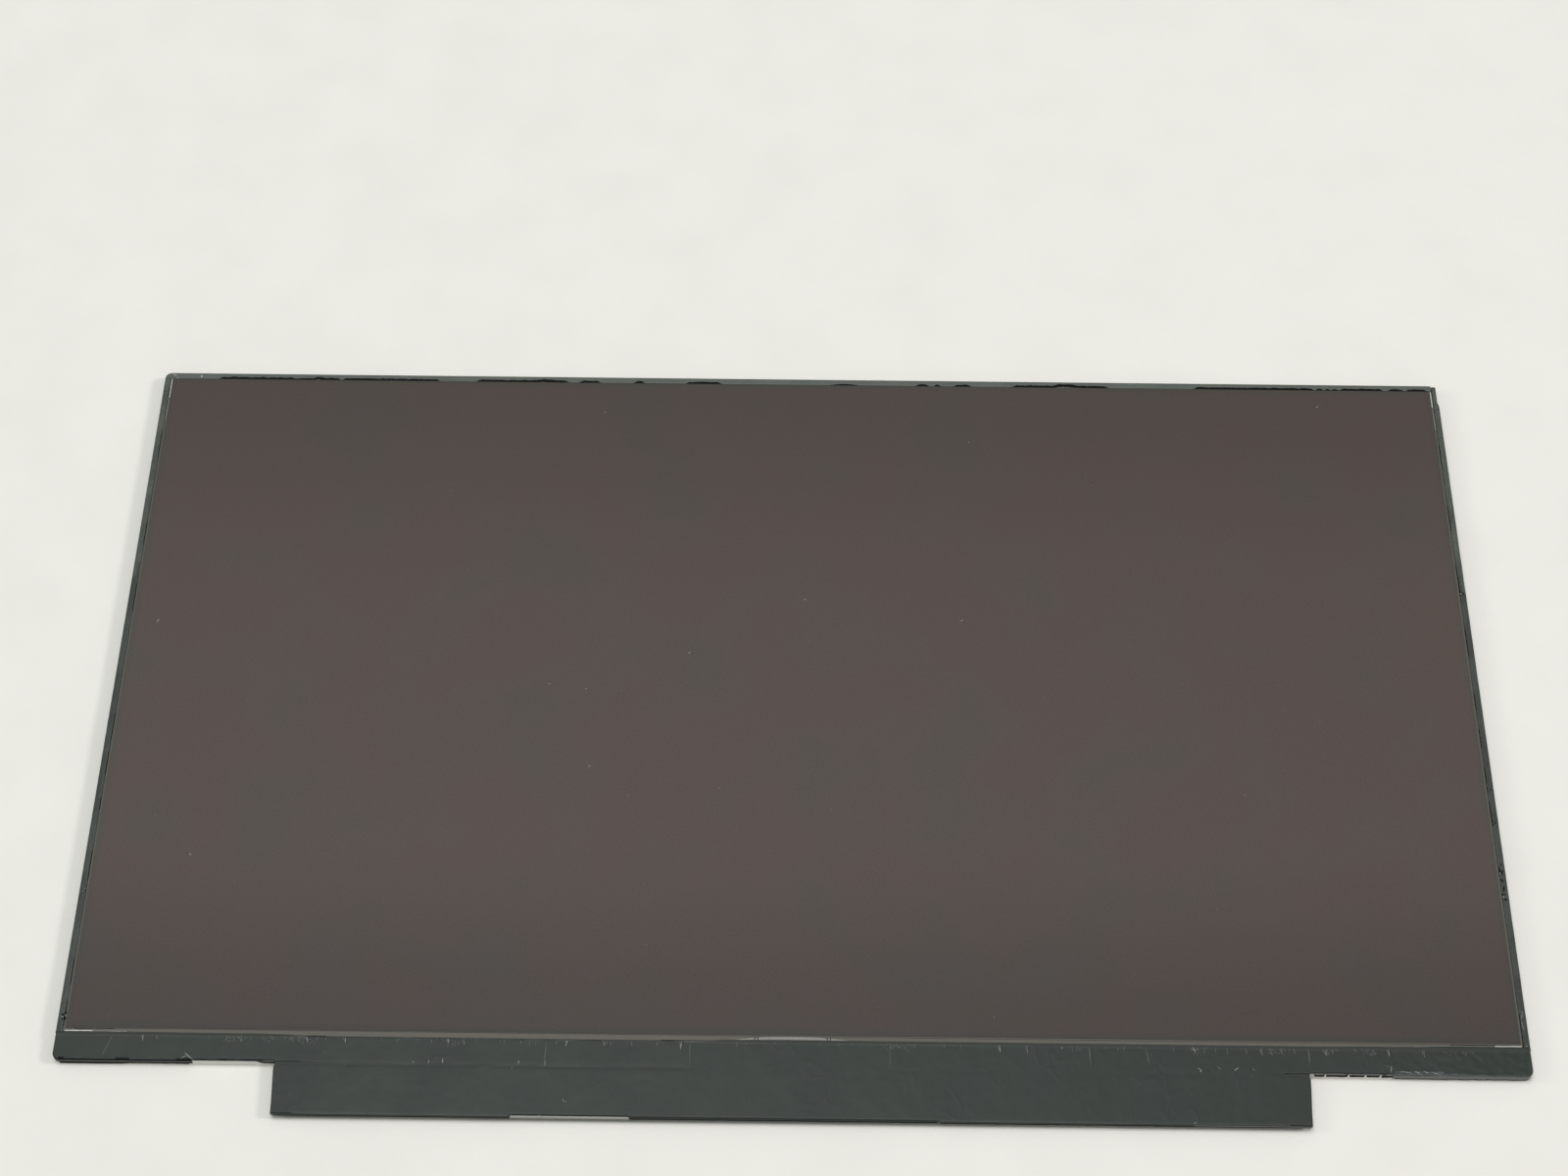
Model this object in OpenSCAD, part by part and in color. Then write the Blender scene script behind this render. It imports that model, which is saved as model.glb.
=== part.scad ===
// Laptop screen panel with its control board, lying on its rear face.
// X runs along the screen's width, Y up the screen, Z out of its face.
// The origin is under the middle of the outline, at the rear face.

/* [Display cell] */
// Width of the lit area
active_w = 309.4; // [260:0.1:345]
// Height of the lit area
active_h = 174; // [145:0.1:195]
// Polarizer beyond the lit area at each side
border_side = 1.2; // [0.8:0.1:3]
// Polarizer beyond the lit area at the top
border_top = 1.25; // [0.8:0.05:3]
// Polarizer beyond the lit area at the bottom
border_bottom = 1.75; // [1.6:0.05:4]
// Glass beyond the polarizer at the sides and the top
glass_margin = 0.4; // [0.2:0.05:0.8]
// Filter glass beyond the polarizer at the bottom
filter_margin = 1.1; // [0.6:0.05:2]
// Array glass beyond the filter glass, where the films are bonded
bond_ledge = 3.8; // [3.4:0.1:6]
// Thickness of each glass
glass_t = 0.4; // [0.25:0.05:0.7]
// Thickness of the front polarizer
polarizer_t = 0.15; // [0.12:0.01:0.3]
// Thickness of the rear polarizer
rear_polarizer_t = 0.12; // [0.08:0.01:0.2]
// Rear polarizer beyond the lit area at the bottom
rear_polarizer_reach = 1.5; // [1:0.1:1.5]

/* [Frame] */
// Outline beyond the glass at each side
rim_side = 1.6; // [1.5:0.1:4]
// Outline beyond the glass at the top
rim_top = 1.5; // [1.5:0.1:4]
// Outline beyond the glass at the bottom
rim_bottom = 2.3; // [2.2:0.1:5]
// Clearance between the glass and the frame
cell_clearance = 0.3; // [0.15:0.05:0.4]
// Radius of the frame's outer corners
corner_r = 1.5; // [0.8:0.1:3]
// Width of the shelf under the glass at the sides and the top
shelf_w = 1.3; // [1.1:0.1:1.5]
// Width of the shelf under the glass at the bottom
ledge_support = 0.9; // [0.7:0.1:1.2]
// Width of the lip round the rear cover
lip_w = 1; // [0.8:0.1:1.2]
// Radius of the relief in each upper corner of the cell's pocket
relief_r = 0.4; // [0.2:0.05:0.45]

/* [Rear cover] */
// Thickness of the sheet
cover_t = 0.2; // [0.15:0.01:0.25]
// Depth of the cover's border under the frame's lip
cover_recess = 0.1; // [0.08:0.01:0.15]
// Radius of the cover's corners
cover_r = 0.6; // [0.3:0.1:1]
// Rise of the stamped centre
centre_rise = 0.1; // [0.05:0.01:0.2]
// Width of the cover's border round the stamped centre
cover_border = 24; // [14:1:40]
// Corner radius of the stamped centre
centre_r = 8; // [4:0.5:15]
// Run of the stamped centre's sloped side
centre_slope = 1; // [0.5:0.1:2]
// Width of each stiffening bead
bead_w = 7; // [4:0.5:10]
// Distance between the two stiffening beads
bead_pitch = 64; // [30:1:80]
// Stamped centre beyond the ends of the beads
bead_inset = 30; // [15:1:60]
// Length of each folded edge tab
tab_l = 16; // [8:1:20]
// Height of each folded edge tab above the sheet
tab_h = 0.6; // [0.4:0.05:0.65]
// Play round the cover and its tabs
cover_play = 0.05; // [0.03:0.01:0.08]
// Edge tabs along each long side
long_tabs = 6; // [2:1:8]
// Edge tabs along each short side
short_tabs = 3; // [2:1:5]

/* [Backlight] */
// Thickness of the reflector sheet
reflector_t = 0.15; // [0.1:0.01:0.2]
// Thickness of the light guide
guide_t = 0.5; // [0.4:0.05:0.8]
// Thickness of each diffuser
diffuser_t = 0.08; // [0.05:0.01:0.12]
// Thickness of each prism sheet
prism_t = 0.12; // [0.08:0.01:0.18]
// Play round the sheets in the frame
sheet_play = 0.15; // [0.1:0.05:0.25]
// Clearance above the stack of sheets
stack_clearance = 0.02; // [0.01:0.01:0.1]
// Length of the ears that locate each sheet
ear_l = 8; // [4:1:12]
// Reach of the ears into the frame
ear_w = 0.5; // [0.3:0.05:0.55]
// Ears from the ends of the lit area
ear_inset = 26; // [15:1:50]
// Number of light-emitting diodes
led_count = 40; // [12:1:48]
// Length of each diode
led_l = 3.8; // [2:0.1:4.2]
// Depth of each diode
led_d = 0.6; // [0.4:0.05:0.8]
// Diodes from the strip's lower edge
led_inset = 1.2; // [0.8:0.1:1.6]
// Width of the light bar's flex strip
led_flex_w = 3.6; // [3:0.1:4]
// Thickness of the light bar's flex strip
led_flex_t = 0.08; // [0.05:0.01:0.1]
// Width of the light bar's tail
tail_w = 8; // [5:0.5:10]
// Middle of the light bar's tail, from the middle of the panel
tail_x = 96; // [88:1:98]

/* [Source films] */
// Width of each source film at the glass
film_w = 42.4; // [30:0.1:43.4]
// Gap between the two films at each side
film_gap = 3.5; // [2.6:0.1:6]
// Covered board beyond the outer films
film_inset = 0.2; // [0.1:0.1:3]
// Thickness of each source film
film_t = 0.05; // [0.03:0.01:0.07]
// Film bonded on the glass
glass_bond = 2.7; // [2:0.1:3.2]
// Film bonded on the board
board_bond = 2.2; // [1.5:0.1:3]
// Narrowing of each film towards the board, at each side
film_step = 1.2; // [0.5:0.1:3]
// Depth to which films and tape sag between the frame and the board
sag = 0.12; // [0.05:0.01:0.15]
// Play of the films and chips in the frame's notches
film_play = 0.3; // [0.1:0.05:0.5]
// Length of each driver chip
chip_l = 19; // [10:0.5:24]
// Width of each driver chip
chip_w = 1; // [0.6:0.1:1.2]
// Thickness of each driver chip
chip_t = 0.3; // [0.2:0.05:0.35]
// Wall of the frame outside the driver chips
chip_wall = 0.4; // [0.3:0.05:0.5]

/* [Control board] */
// Width of the covered board
board_w = 219.4; // [214:0.1:250]
// Reach of the covered board below the panel
board_reach = 12; // [11.6:0.1:18]
// Thickness of the board
board_t = 0.6; // [0.45:0.05:0.65]
// Gap between the frame and the board
board_gap = 0.8; // [0.6:0.05:1]
// Depth of the notches in the board's upper edge
board_notch = 1.2; // [0.8:0.1:1.6]
// Cut at the board's lower corners
board_cut = 0.6; // [0.2:0.1:1.2]
// Width of the signal connector
connector_w = 21; // [20:0.5:24]
// Depth of the signal connector
connector_d = 3.8; // [3.4:0.1:4]
// Height of the signal connector
connector_h = 1; // [0.85:0.05:1.1]
// Middle of the signal connector, from the middle of the panel
connector_x = -78; // [-80:1:-77]
// Number of contacts
contact_count = 30; // [10:1:30]
// Distance between contacts
contact_pitch = 0.5; // [0.4:0.05:0.5]
// Width of each grounding foil
foil_w = 9; // [5:0.5:10]
// Thickness of each grounding foil
foil_t = 0.05; // [0.03:0.01:0.08]
// Foil bonded on the rear cover
foil_reach = 9; // [5:0.5:14]
// Foil bonded on the board
foil_bond = 2; // [1:0.1:2.2]

/* [Tapes] */
// Thickness of the cover tape and the edge tapes
tape_t = 0.1; // [0.06:0.01:0.11]
// Slack of the tapes at the outline's sides and top
fold_slack = 0.35; // [0.1:0.05:0.45]
// Radius of the edge tapes' fold
fold_r = 0.3; // [0.2:0.05:0.5]
// Height above the rest at which the folded tapes end
fold_end_z = 0.35; // [0.1:0.05:0.8]
// Length of the cover tape's folded flap at each side
flap_l = 30; // [10:0.5:32]
// Glass left bare between the cover tape and the polarizer at the tape's ends
end_strip = 0.35; // [0.1:0.05:0.4]
// Length of the stretch that climbs the glass at each end
climb_l = 62; // [20:1:90]
// Edge tapes short of the polarizer at the sides
side_tape_gap = 0.6; // [0.5:0.05:0.75]
// Edge tape short of the polarizer at the top
top_tape_gap = 0.1; // [0.05:0.05:0.3]
// Depth of the torn edges
tear = 0.35; // [0.1:0.05:0.5]
// Setback of the cover tape's lower edge
setback = 0.35; // [0.2:0.05:0.6]
// Start of the setback, from the middle
setback_start = -59.4; // [-90:0.1:-30]
// End of the setback, from the middle
setback_end = 25; // [0:0.5:60]
// Width of the wrap behind the board's lower edge
wrap_w = 1.2; // [0.8:0.1:1.3]
// Length of the stretch that is tight at the right tape's upper end
tight_l = 5.6; // [3:0.2:12]
// Thickness of the tapes that hold the cell and the light bar
thin_tape_t = 0.06; // [0.04:0.01:0.08]
// Window of the rim tape beyond the lit area
window_margin = 0.25; // [0.1:0.05:0.4]

/* [Hidden] */
$fn = 48;
eps = 0.01;

// Widths
polarizer_w = active_w + 2 * border_side;
glass_w = polarizer_w + 2 * glass_margin;
panel_w = glass_w + 2 * rim_side;
frame_w = panel_w - 2 * (tape_t + fold_slack);
pocket_w = glass_w + 2 * cell_clearance;
tray_w = pocket_w - 2 * shelf_w;
cover_w = frame_w - 2 * lip_w;
sheet_w = tray_w - 2 * sheet_play;

// Heights up the screen
total_h = board_reach + rim_bottom + bond_ledge + filter_margin + border_bottom
    + active_h + border_top + glass_margin + rim_top;
top_y = total_h / 2;
foot_y = -total_h / 2;
edge_y = foot_y + board_reach;
array_y = edge_y + rim_bottom;
filter_y = array_y + bond_ledge;
polarizer_y = filter_y + filter_margin;
active_y = polarizer_y + border_bottom;
active_top_y = active_y + active_h;
polarizer_top_y = active_top_y + border_top;
glass_top_y = polarizer_top_y + glass_margin;
frame_top_y = top_y - tape_t - fold_slack;
wall_y = edge_y + tape_t;
pocket_y = array_y - cell_clearance;
pocket_top_y = glass_top_y + cell_clearance;
tray_y = array_y + ledge_support;
tray_top_y = pocket_top_y - shelf_w;
sheet_top_y = tray_top_y - sheet_play;

// Levels from the rear face to the screen's face
border_z = cover_recess + cover_t;
floor_z = border_z + centre_rise;
guide_z = floor_z + reflector_t;
guide_top_z = guide_z + guide_t;
lower_prism_z = guide_top_z + diffuser_t;
upper_prism_z = lower_prism_z + prism_t;
upper_diffuser_z = upper_prism_z + prism_t;
stack_z = upper_diffuser_z + diffuser_t;
shelf_z = stack_z + stack_clearance;
rear_polarizer_z = shelf_z + thin_tape_t;
array_z = rear_polarizer_z + rear_polarizer_t;
ledge_shelf_z = array_z - thin_tape_t;
filter_z = array_z + glass_t;
face_z = filter_z + glass_t;
panel_t = face_z + polarizer_t;
film_top_z = filter_z + film_t;
tape_z = film_top_z + tape_t;
edge_tape_z = face_z + tape_t;
board_z = filter_z - board_t;

// Rear cover
cover_y = wall_y + lip_w;
cover_top_y = frame_top_y - lip_w;
centre_w = cover_w - 2 * cover_border;
centre_y = cover_y + cover_border;
centre_top_y = cover_top_y - cover_border;
centre_mid_y = (cover_y + cover_top_y) / 2;
bead_l = centre_w - 2 * bead_inset;
bead_slope = min(centre_slope, bead_w / 4);

// Backlight
led_flex_y = tray_y + sheet_play;
led_y = led_flex_y + led_inset;
guide_y = led_y + led_d + cover_play;
films_y = led_flex_y + led_flex_w + sheet_play;
led_pitch = (sheet_w - 2 * led_l) / led_count;
led_skin = 0.1;

// Films, chips and board
outer_film_x = board_w / 2 - film_inset - film_w / 2;
inner_film_x = outer_film_x - film_w - film_gap;
film_xs = [-outer_film_x, -inner_film_x, inner_film_x, outer_film_x];
chip_pocket_y = wall_y + chip_wall;
chip_y = (chip_pocket_y + pocket_y - chip_w) / 2;
pcb_w = board_w - 2 * tape_t;
pcb_y = foot_y + tape_t;
pcb_top_y = edge_y - board_gap;
notch_w = 1.6;
notch_x = (outer_film_x + inner_film_x) / 2;

// Parts on the rear side of the board: places along it, and sizes as length, width and height
parts_y = (pcb_y + pcb_top_y) / 2;
row_inset = 2;
high_row_y = pcb_top_y - row_inset;
low_row_y = pcb_y + row_inset;
timing_x = -14;
timing_w = 6;
timing_h = 0.9;
timing_cap = 0.5;
power_x = 8;
power_w = 4;
light_driver_x = 56;
light_driver_w = 3;
flat_h = 0.75;
flat_cap = 0.05;
memory_x = -36;
memory_size = [5, 3.2, 0.85];
memory_leg = [0.4, 5.2, 0.12];
memory_lift = 0.1;
inductor_xs = [24, 40, 72];
inductor_w = 4;
inductor_r = 0.6;
inductor_h = 1;
small_capacitor = [1, 0.5, 0.5];
medium_capacitor = [1.6, 0.8, 0.8];
large_capacitor = [3.2, 1.6, 1];
small_resistor = [1, 0.5, 0.35];
small_gap = 0.7;
medium_gap = 0.8;
large_gap = 0.6;
input_row_x = -62;
strap_row_x = -30;
core_row_x = -23.5;
divider_row_x = 3;
boost_row_x = 14;
bulk_row_x = 30;
sense_row_x = 44;
string_row_x = 48;
output_row_x = 61;
foil_xs = [-100, -6, 78];
connector_y = foot_y + wrap_w + 0.2;
mouth_depth = connector_d - 1.3;
shell_t = 0.12;
shell_foot = 0.8;
contact_w = 0.2;
contact_t = 0.12;
contact_play = 0.02;
blade_z = connector_h / 2;
tail_z = board_z - guide_top_z - led_flex_t;
socket_y = pcb_top_y - 0.8;
socket_w = tail_w + 2.4;
socket_d = 3;
socket_depth = 1.8;
socket_h = tail_z + led_flex_t + 0.55;
latch_w = 1;
latch_h = 0.35;
latch_end = 0.8;
tail_end_y = socket_y - socket_depth + sheet_play;

// Tapes
flap_x = panel_w / 2 - flap_l;
tape_corner_r = corner_r + tape_t;
climb = filter_margin - end_strip;
side_tape_x = polarizer_w / 2 + side_tape_gap;
top_tape_y = polarizer_top_y + top_tape_gap;
tear_steps = 14;
setback_run = 6;
left_bites = [9.9, 41];
right_bites = [43, 49, 61.7, 70.3, 123.8];
bite_d = 0.35;
top_humps = [[-120.5, 11, 0.6], [-63, 5, 0.3], [11, 8, 0.45], [65.5, 7, 0.6]];

// A block centred on the panel's width, between two heights up the screen and two levels
module slab(w, y0, y1, z0, z1) {
    translate([-w / 2, y0, z0]) cube([w, y1 - y0, z1 - z0]);
}

// A rectangle with round corners, centred on the panel's width
module rounded(w, y0, y1, r) {
    translate([-w / 2 + r, y0]) square([w - 2 * r, y1 - y0]);
    translate([-w / 2, y0 + r]) square([w, y1 - y0 - 2 * r]);
    for (x = [-w / 2 + r, w / 2 - r], y = [y0 + r, y1 - r]) translate([x, y]) circle(r);
}

// The same rectangle as a plate
module round_slab(w, y0, y1, r, z0, z1) {
    translate([0, 0, z0]) linear_extrude(z1 - z0) rounded(w, y0, y1, r);
}

// A profile drawn as [y, z] points, run along X between two places
module along_x(x0, x1) {
    translate([x0, 0, 0]) rotate([90, 0, 90]) linear_extrude(x1 - x0) children();
}

// A profile drawn as [x, z] points, run along Y between two places
module along_y(y0, y1) {
    translate([0, y1, 0]) rotate([90, 0, 0]) linear_extrude(y1 - y0) children();
}

// A pad that rises from the level of its foot, with sloped sides and conical corners
module sloped_pad(w, y0, y1, r, rise, run) {
    along_x(-w / 2 + r, w / 2 - r) polygon([[y0, 0], [y1, 0], [y1 - run, rise], [y0 + run, rise]]);
    if (y1 - y0 > 2 * r) along_y(y0 + r, y1 - r)
        polygon([[-w / 2, 0], [w / 2, 0], [w / 2 - run, rise], [-w / 2 + run, rise]]);
    for (x = [-w / 2 + r, w / 2 - r], y = [y0 + r, y1 - r])
        translate([x, y, 0]) cylinder(h = rise, r1 = r, r2 = r - run);
}

// Places a part on the rear side of the control board, its foot on the board and its top to the rear
module on_board(x, y) {
    translate([x, y, board_z]) mirror([0, 0, 1]) children();
}

// Middles of equal stretches along a side of the given length
function places(length, count) = [for (i = [0:count - 1]) (i + 0.5 - count / 2) * length / count];

// The stamped centre as one pad with a trough for each bead
module stamped_centre() {
    difference() {
        sloped_pad(centre_w, centre_y, centre_top_y, centre_r, centre_rise, centre_slope);
        for (side = [-1, 1]) translate([0, centre_mid_y + side * bead_pitch / 2, centre_rise])
            mirror([0, 0, 1]) sloped_pad(bead_l, -bead_w / 2, bead_w / 2, bead_w / 2, centre_rise, bead_slope);
    }
}

// Every folded tab of the rear cover, or with play the pockets that the frame has for them
module edge_tabs(play, top_z) {
    length = tab_l + 2 * play;
    depth = cover_t + 2 * play;
    inset = cover_play - play;
    for (x = places(cover_w, long_tabs)) translate([x, 0, 0]) {
        slab(length, cover_y + inset, cover_y + inset + depth, cover_recess, top_z);
        slab(length, cover_top_y - inset - depth, cover_top_y - inset, cover_recess, top_z);
    }
    for (y = places(cover_top_y - cover_y, short_tabs), side = [0, 1]) mirror([side, 0, 0])
        translate([cover_w / 2 - inset - depth, centre_mid_y + y - length / 2, cover_recess])
            cube([depth, length, top_z - cover_recess]);
}

// Stamped sheet with a raised centre, two beads and tabs folded up into the frame
module rear_cover() {
    color([0.72, 0.73, 0.74]) difference() {
        union() {
            round_slab(cover_w - 2 * cover_play, cover_y + cover_play, cover_top_y - cover_play, cover_r,
                cover_recess, border_z);
            translate([0, 0, border_z]) stamped_centre();
            edge_tabs(0, border_z + tab_h);
        }
        translate([0, 0, cover_recess]) stamped_centre();
    }
}

// Moulded frame: outer wall, pocket for the cell, shelf under the glass and beam under the films
module mould_frame() {
    color([0.93, 0.92, 0.88]) difference() {
        round_slab(frame_w, wall_y, frame_top_y, corner_r, 0, face_z);
        slab(pocket_w, tray_y, pocket_top_y, shelf_z, face_z + eps);
        slab(pocket_w, pocket_y, tray_y + eps, ledge_shelf_z, face_z + eps);
        for (side = [-1, 1]) translate([side * pocket_w / 2, pocket_top_y, shelf_z])
            cylinder(h = face_z, r = relief_r);
        slab(tray_w, tray_y, tray_top_y, -eps, face_z);
        sheet_ears(sheet_play, -eps, shelf_z + eps);
        slab(panel_w, foot_y, filter_y, film_top_z, face_z + eps);
        round_slab(cover_w, cover_y, cover_top_y, cover_r, -eps, border_z);
        edge_tabs(cover_play, border_z + tab_h + cover_play);
        for (x = film_xs) translate([x, 0, 0]) {
            slab(film_w + 2 * film_play, foot_y, pocket_y + eps, filter_z, film_top_z + eps);
            slab(chip_l + 2 * film_play, chip_pocket_y, pocket_y + eps, filter_z - chip_t - film_t, filter_z + eps);
        }
        translate([tail_x, 0, 0]) slab(tail_w + 2 * sheet_play, foot_y, tray_y + eps,
            guide_top_z - cover_play, guide_top_z + led_flex_t + cover_play);
        for (x = foil_xs) translate([x, 0, 0])
            slab(foil_w + 2 * sheet_play, foot_y, cover_y + eps, -eps, cover_recess);
    }
}

// The ears at the sides of each sheet, or with play their pockets in the frame
module sheet_ears(play, z0, z1) {
    for (y = [active_y + ear_inset, active_top_y - ear_inset])
        slab(sheet_w + 2 * ear_w + 2 * play, y - ear_l / 2 - play, y + ear_l / 2 + play, z0, z1);
}

// One sheet of the backlight with its ears
module sheet(y0, z0, z1) {
    slab(sheet_w, y0, sheet_top_y, z0, z1);
    sheet_ears(0, z0, z1);
}

module reflector_sheet() {
    color([0.95, 0.95, 0.94]) sheet(led_flex_y, floor_z, guide_z);
}

module light_guide() {
    color([0.86, 0.92, 0.94]) sheet(guide_y, guide_z, guide_top_z);
}

module lower_diffuser() {
    color([0.9, 0.9, 0.9]) sheet(films_y, guide_top_z, lower_prism_z);
}

module lower_prism_sheet() {
    color([0.85, 0.88, 0.9]) sheet(films_y, lower_prism_z, upper_prism_z);
}

module upper_prism_sheet() {
    color([0.82, 0.86, 0.9]) sheet(films_y, upper_prism_z, upper_diffuser_z);
}

module upper_diffuser() {
    color([0.92, 0.92, 0.92]) sheet(films_y, upper_diffuser_z, stack_z);
}

// Flex strip over the diodes, with its tail through the frame to the socket
module led_flex() {
    color([0.72, 0.5, 0.2]) {
        slab(sheet_w, led_flex_y, led_flex_y + led_flex_w, guide_top_z, guide_top_z + led_flex_t);
        translate([tail_x, 0, 0]) slab(tail_w, tail_end_y, led_flex_y + eps, guide_top_z, guide_top_z + led_flex_t);
    }
}

// Side-lighting diodes under the strip, each with a window towards the light guide
module led_packages() {
    color([0.95, 0.93, 0.8]) for (x = places(led_pitch * led_count, led_count))
        translate([x, 0, 0]) difference() {
            slab(led_l, led_y, led_y + led_d, guide_z, guide_top_z);
            slab(led_l - 6 * led_skin, led_y + led_d - led_skin, led_y + led_d + eps,
                guide_z + led_skin / 2, guide_top_z - led_skin / 2);
        }
}

module light_bar_tape() {
    color([0.1, 0.1, 0.1]) slab(sheet_w, led_flex_y, led_flex_y + led_flex_w,
        guide_top_z + led_flex_t, guide_top_z + led_flex_t + thin_tape_t);
}

// Frame of tape between the shelf and the rear polarizer
module rim_tape() {
    color([0.08, 0.08, 0.08]) difference() {
        slab(polarizer_w, tray_y, polarizer_top_y, shelf_z, rear_polarizer_z);
        slab(active_w + 2 * window_margin, active_y - window_margin, active_top_y + window_margin,
            shelf_z - eps, rear_polarizer_z + eps);
    }
}

module ledge_tape() {
    color([0.08, 0.08, 0.08])
        slab(polarizer_w, array_y, tray_y - cover_play, ledge_shelf_z, array_z);
}

module rear_polarizer() {
    color([0.2, 0.18, 0.18])
        slab(polarizer_w, active_y - rear_polarizer_reach, polarizer_top_y, rear_polarizer_z, array_z);
}

// Lower glass, with its two lower corners cut
module array_glass() {
    cut = bond_ledge / 4;
    color([0.35, 0.38, 0.38]) translate([0, 0, array_z]) linear_extrude(glass_t)
        polygon([[-glass_w / 2 + cut, array_y], [glass_w / 2 - cut, array_y], [glass_w / 2, array_y + cut],
            [glass_w / 2, glass_top_y], [-glass_w / 2, glass_top_y], [-glass_w / 2, array_y + cut]]);
}

module filter_glass() {
    color([0.4, 0.4, 0.38]) slab(glass_w, filter_y, glass_top_y, filter_z, face_z);
}

module front_polarizer() {
    color([0.33, 0.29, 0.28]) slab(polarizer_w, polarizer_y, polarizer_top_y, face_z, panel_t);
}

// Outline of a film: full width on the glass, narrower on the board
module film_outline() {
    neck = film_w / 2 - film_step;
    polygon([[-film_w / 2, array_y + glass_bond], [-film_w / 2, wall_y], [-neck, pcb_top_y],
        [-neck, pcb_top_y - board_bond], [neck, pcb_top_y - board_bond], [neck, pcb_top_y],
        [film_w / 2, wall_y], [film_w / 2, array_y + glass_bond]]);
}

// Section of a thin sheet that sags between the frame and the board
module sagging(y0, y1, z, t) {
    mid_y = (wall_y + pcb_top_y) / 2;
    polygon([[y0, z], [pcb_top_y, z], [mid_y, z - sag], [wall_y, z], [y1, z],
        [y1, z + t], [wall_y, z + t], [mid_y, z + t - sag], [pcb_top_y, z + t], [y0, z + t]]);
}

// Film bonded from the array glass to the control board
module source_film(i) {
    color([0.25, 0.2, 0.12]) translate([film_xs[i], 0, 0]) intersection() {
        translate([0, 0, board_z]) linear_extrude(panel_t) film_outline();
        along_x(-film_w, film_w) sagging(foot_y, filter_y, filter_z, film_t);
    }
}

module driver_chip(i) {
    color([0.15, 0.15, 0.16]) translate([film_xs[i], 0, 0])
        slab(chip_l, chip_y, chip_y + chip_w, filter_z - chip_t, filter_z);
}

// Board with cut corners and round-ended notches between the films
module control_board() {
    color([0.1, 0.22, 0.16]) translate([0, 0, board_z]) linear_extrude(board_t) difference() {
        polygon([[-pcb_w / 2, pcb_y + board_cut], [-pcb_w / 2 + board_cut, pcb_y],
            [pcb_w / 2 - board_cut, pcb_y], [pcb_w / 2, pcb_y + board_cut],
            [pcb_w / 2, pcb_top_y], [-pcb_w / 2, pcb_top_y]]);
        for (x = [-notch_x, 0, notch_x]) translate([x, pcb_top_y]) {
            translate([-notch_w / 2, -board_notch]) square([notch_w, board_notch + eps]);
            for (side = [-1, 1]) translate([side * notch_w / 2, -board_notch / 2]) circle(board_notch / 2);
        }
    }
}

// A flat chip: a body with a narrower cap
module flat_chip(w, h, cap) {
    slab(w, -w / 2, w / 2, 0, h / 2);
    slab(w - 2 * cap, -w / 2 + cap, w / 2 - cap, h / 2 - eps, h);
}

module timing_chip() {
    color([0.12, 0.12, 0.13]) on_board(timing_x, parts_y) flat_chip(timing_w, timing_h, timing_cap);
}

module power_chip() {
    color([0.12, 0.12, 0.13]) on_board(power_x, parts_y) flat_chip(power_w, flat_h, flat_cap);
}

module light_driver_chip() {
    color([0.12, 0.12, 0.13]) on_board(light_driver_x, parts_y) flat_chip(light_driver_w, flat_h, flat_cap);
}

// Small memory in a package with legs on two sides, each leg stepped up to the body
module memory_chip() {
    leg_pitch = memory_size[0] * 0.96;
    color([0.12, 0.12, 0.13]) on_board(memory_x, parts_y) {
        slab(memory_size[0], -memory_size[1] / 2, memory_size[1] / 2, memory_lift, memory_lift + memory_size[2]);
        for (x = places(leg_pitch, 4)) translate([x, 0, 0]) {
            slab(memory_leg[0], -memory_leg[1] / 2, memory_leg[1] / 2, 0, memory_leg[2]);
            slab(memory_leg[0], -memory_size[1] / 2 - 2 * memory_leg[2], memory_size[1] / 2 + 2 * memory_leg[2],
                memory_lift, memory_lift + memory_size[2] / 2);
        }
    }
}

// Shielded coil: a square body with round corners and a round top
module power_inductor(i) {
    color([0.2, 0.2, 0.21]) on_board(inductor_xs[i], parts_y) {
        round_slab(inductor_w, -inductor_w / 2, inductor_w / 2, inductor_r, 0, 0.8 * inductor_h);
        cylinder(h = inductor_h, r = inductor_w / 2 - inductor_r / 2);
    }
}

// A row of two-ended parts along the board
module chip_row(x0, count, size, gap, y) {
    for (i = [0:count - 1]) on_board(x0 + i * (size[0] + gap), y)
        translate([-size[0] / 2, -size[1] / 2, 0]) cube(size);
}

module ceramic_capacitors() {
    color([0.62, 0.5, 0.36]) {
        chip_row(input_row_x, 10, small_capacitor, small_gap, high_row_y);
        chip_row(core_row_x, 7, small_capacitor, small_gap, low_row_y);
        chip_row(boost_row_x, 3, medium_capacitor, medium_gap, high_row_y);
        chip_row(bulk_row_x, 3, medium_capacitor, medium_gap, low_row_y);
        chip_row(output_row_x, 4, medium_capacitor, medium_gap, low_row_y);
        chip_row(string_row_x, 3, large_capacitor, large_gap, high_row_y);
    }
}

module chip_resistors() {
    color([0.14, 0.14, 0.15]) {
        chip_row(input_row_x, 8, small_resistor, 2 * small_gap, low_row_y);
        chip_row(strap_row_x, 6, small_resistor, small_gap, high_row_y);
        chip_row(divider_row_x, 6, small_resistor, small_gap, low_row_y);
        chip_row(sense_row_x, 6, small_resistor, small_gap, low_row_y);
    }
}

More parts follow.
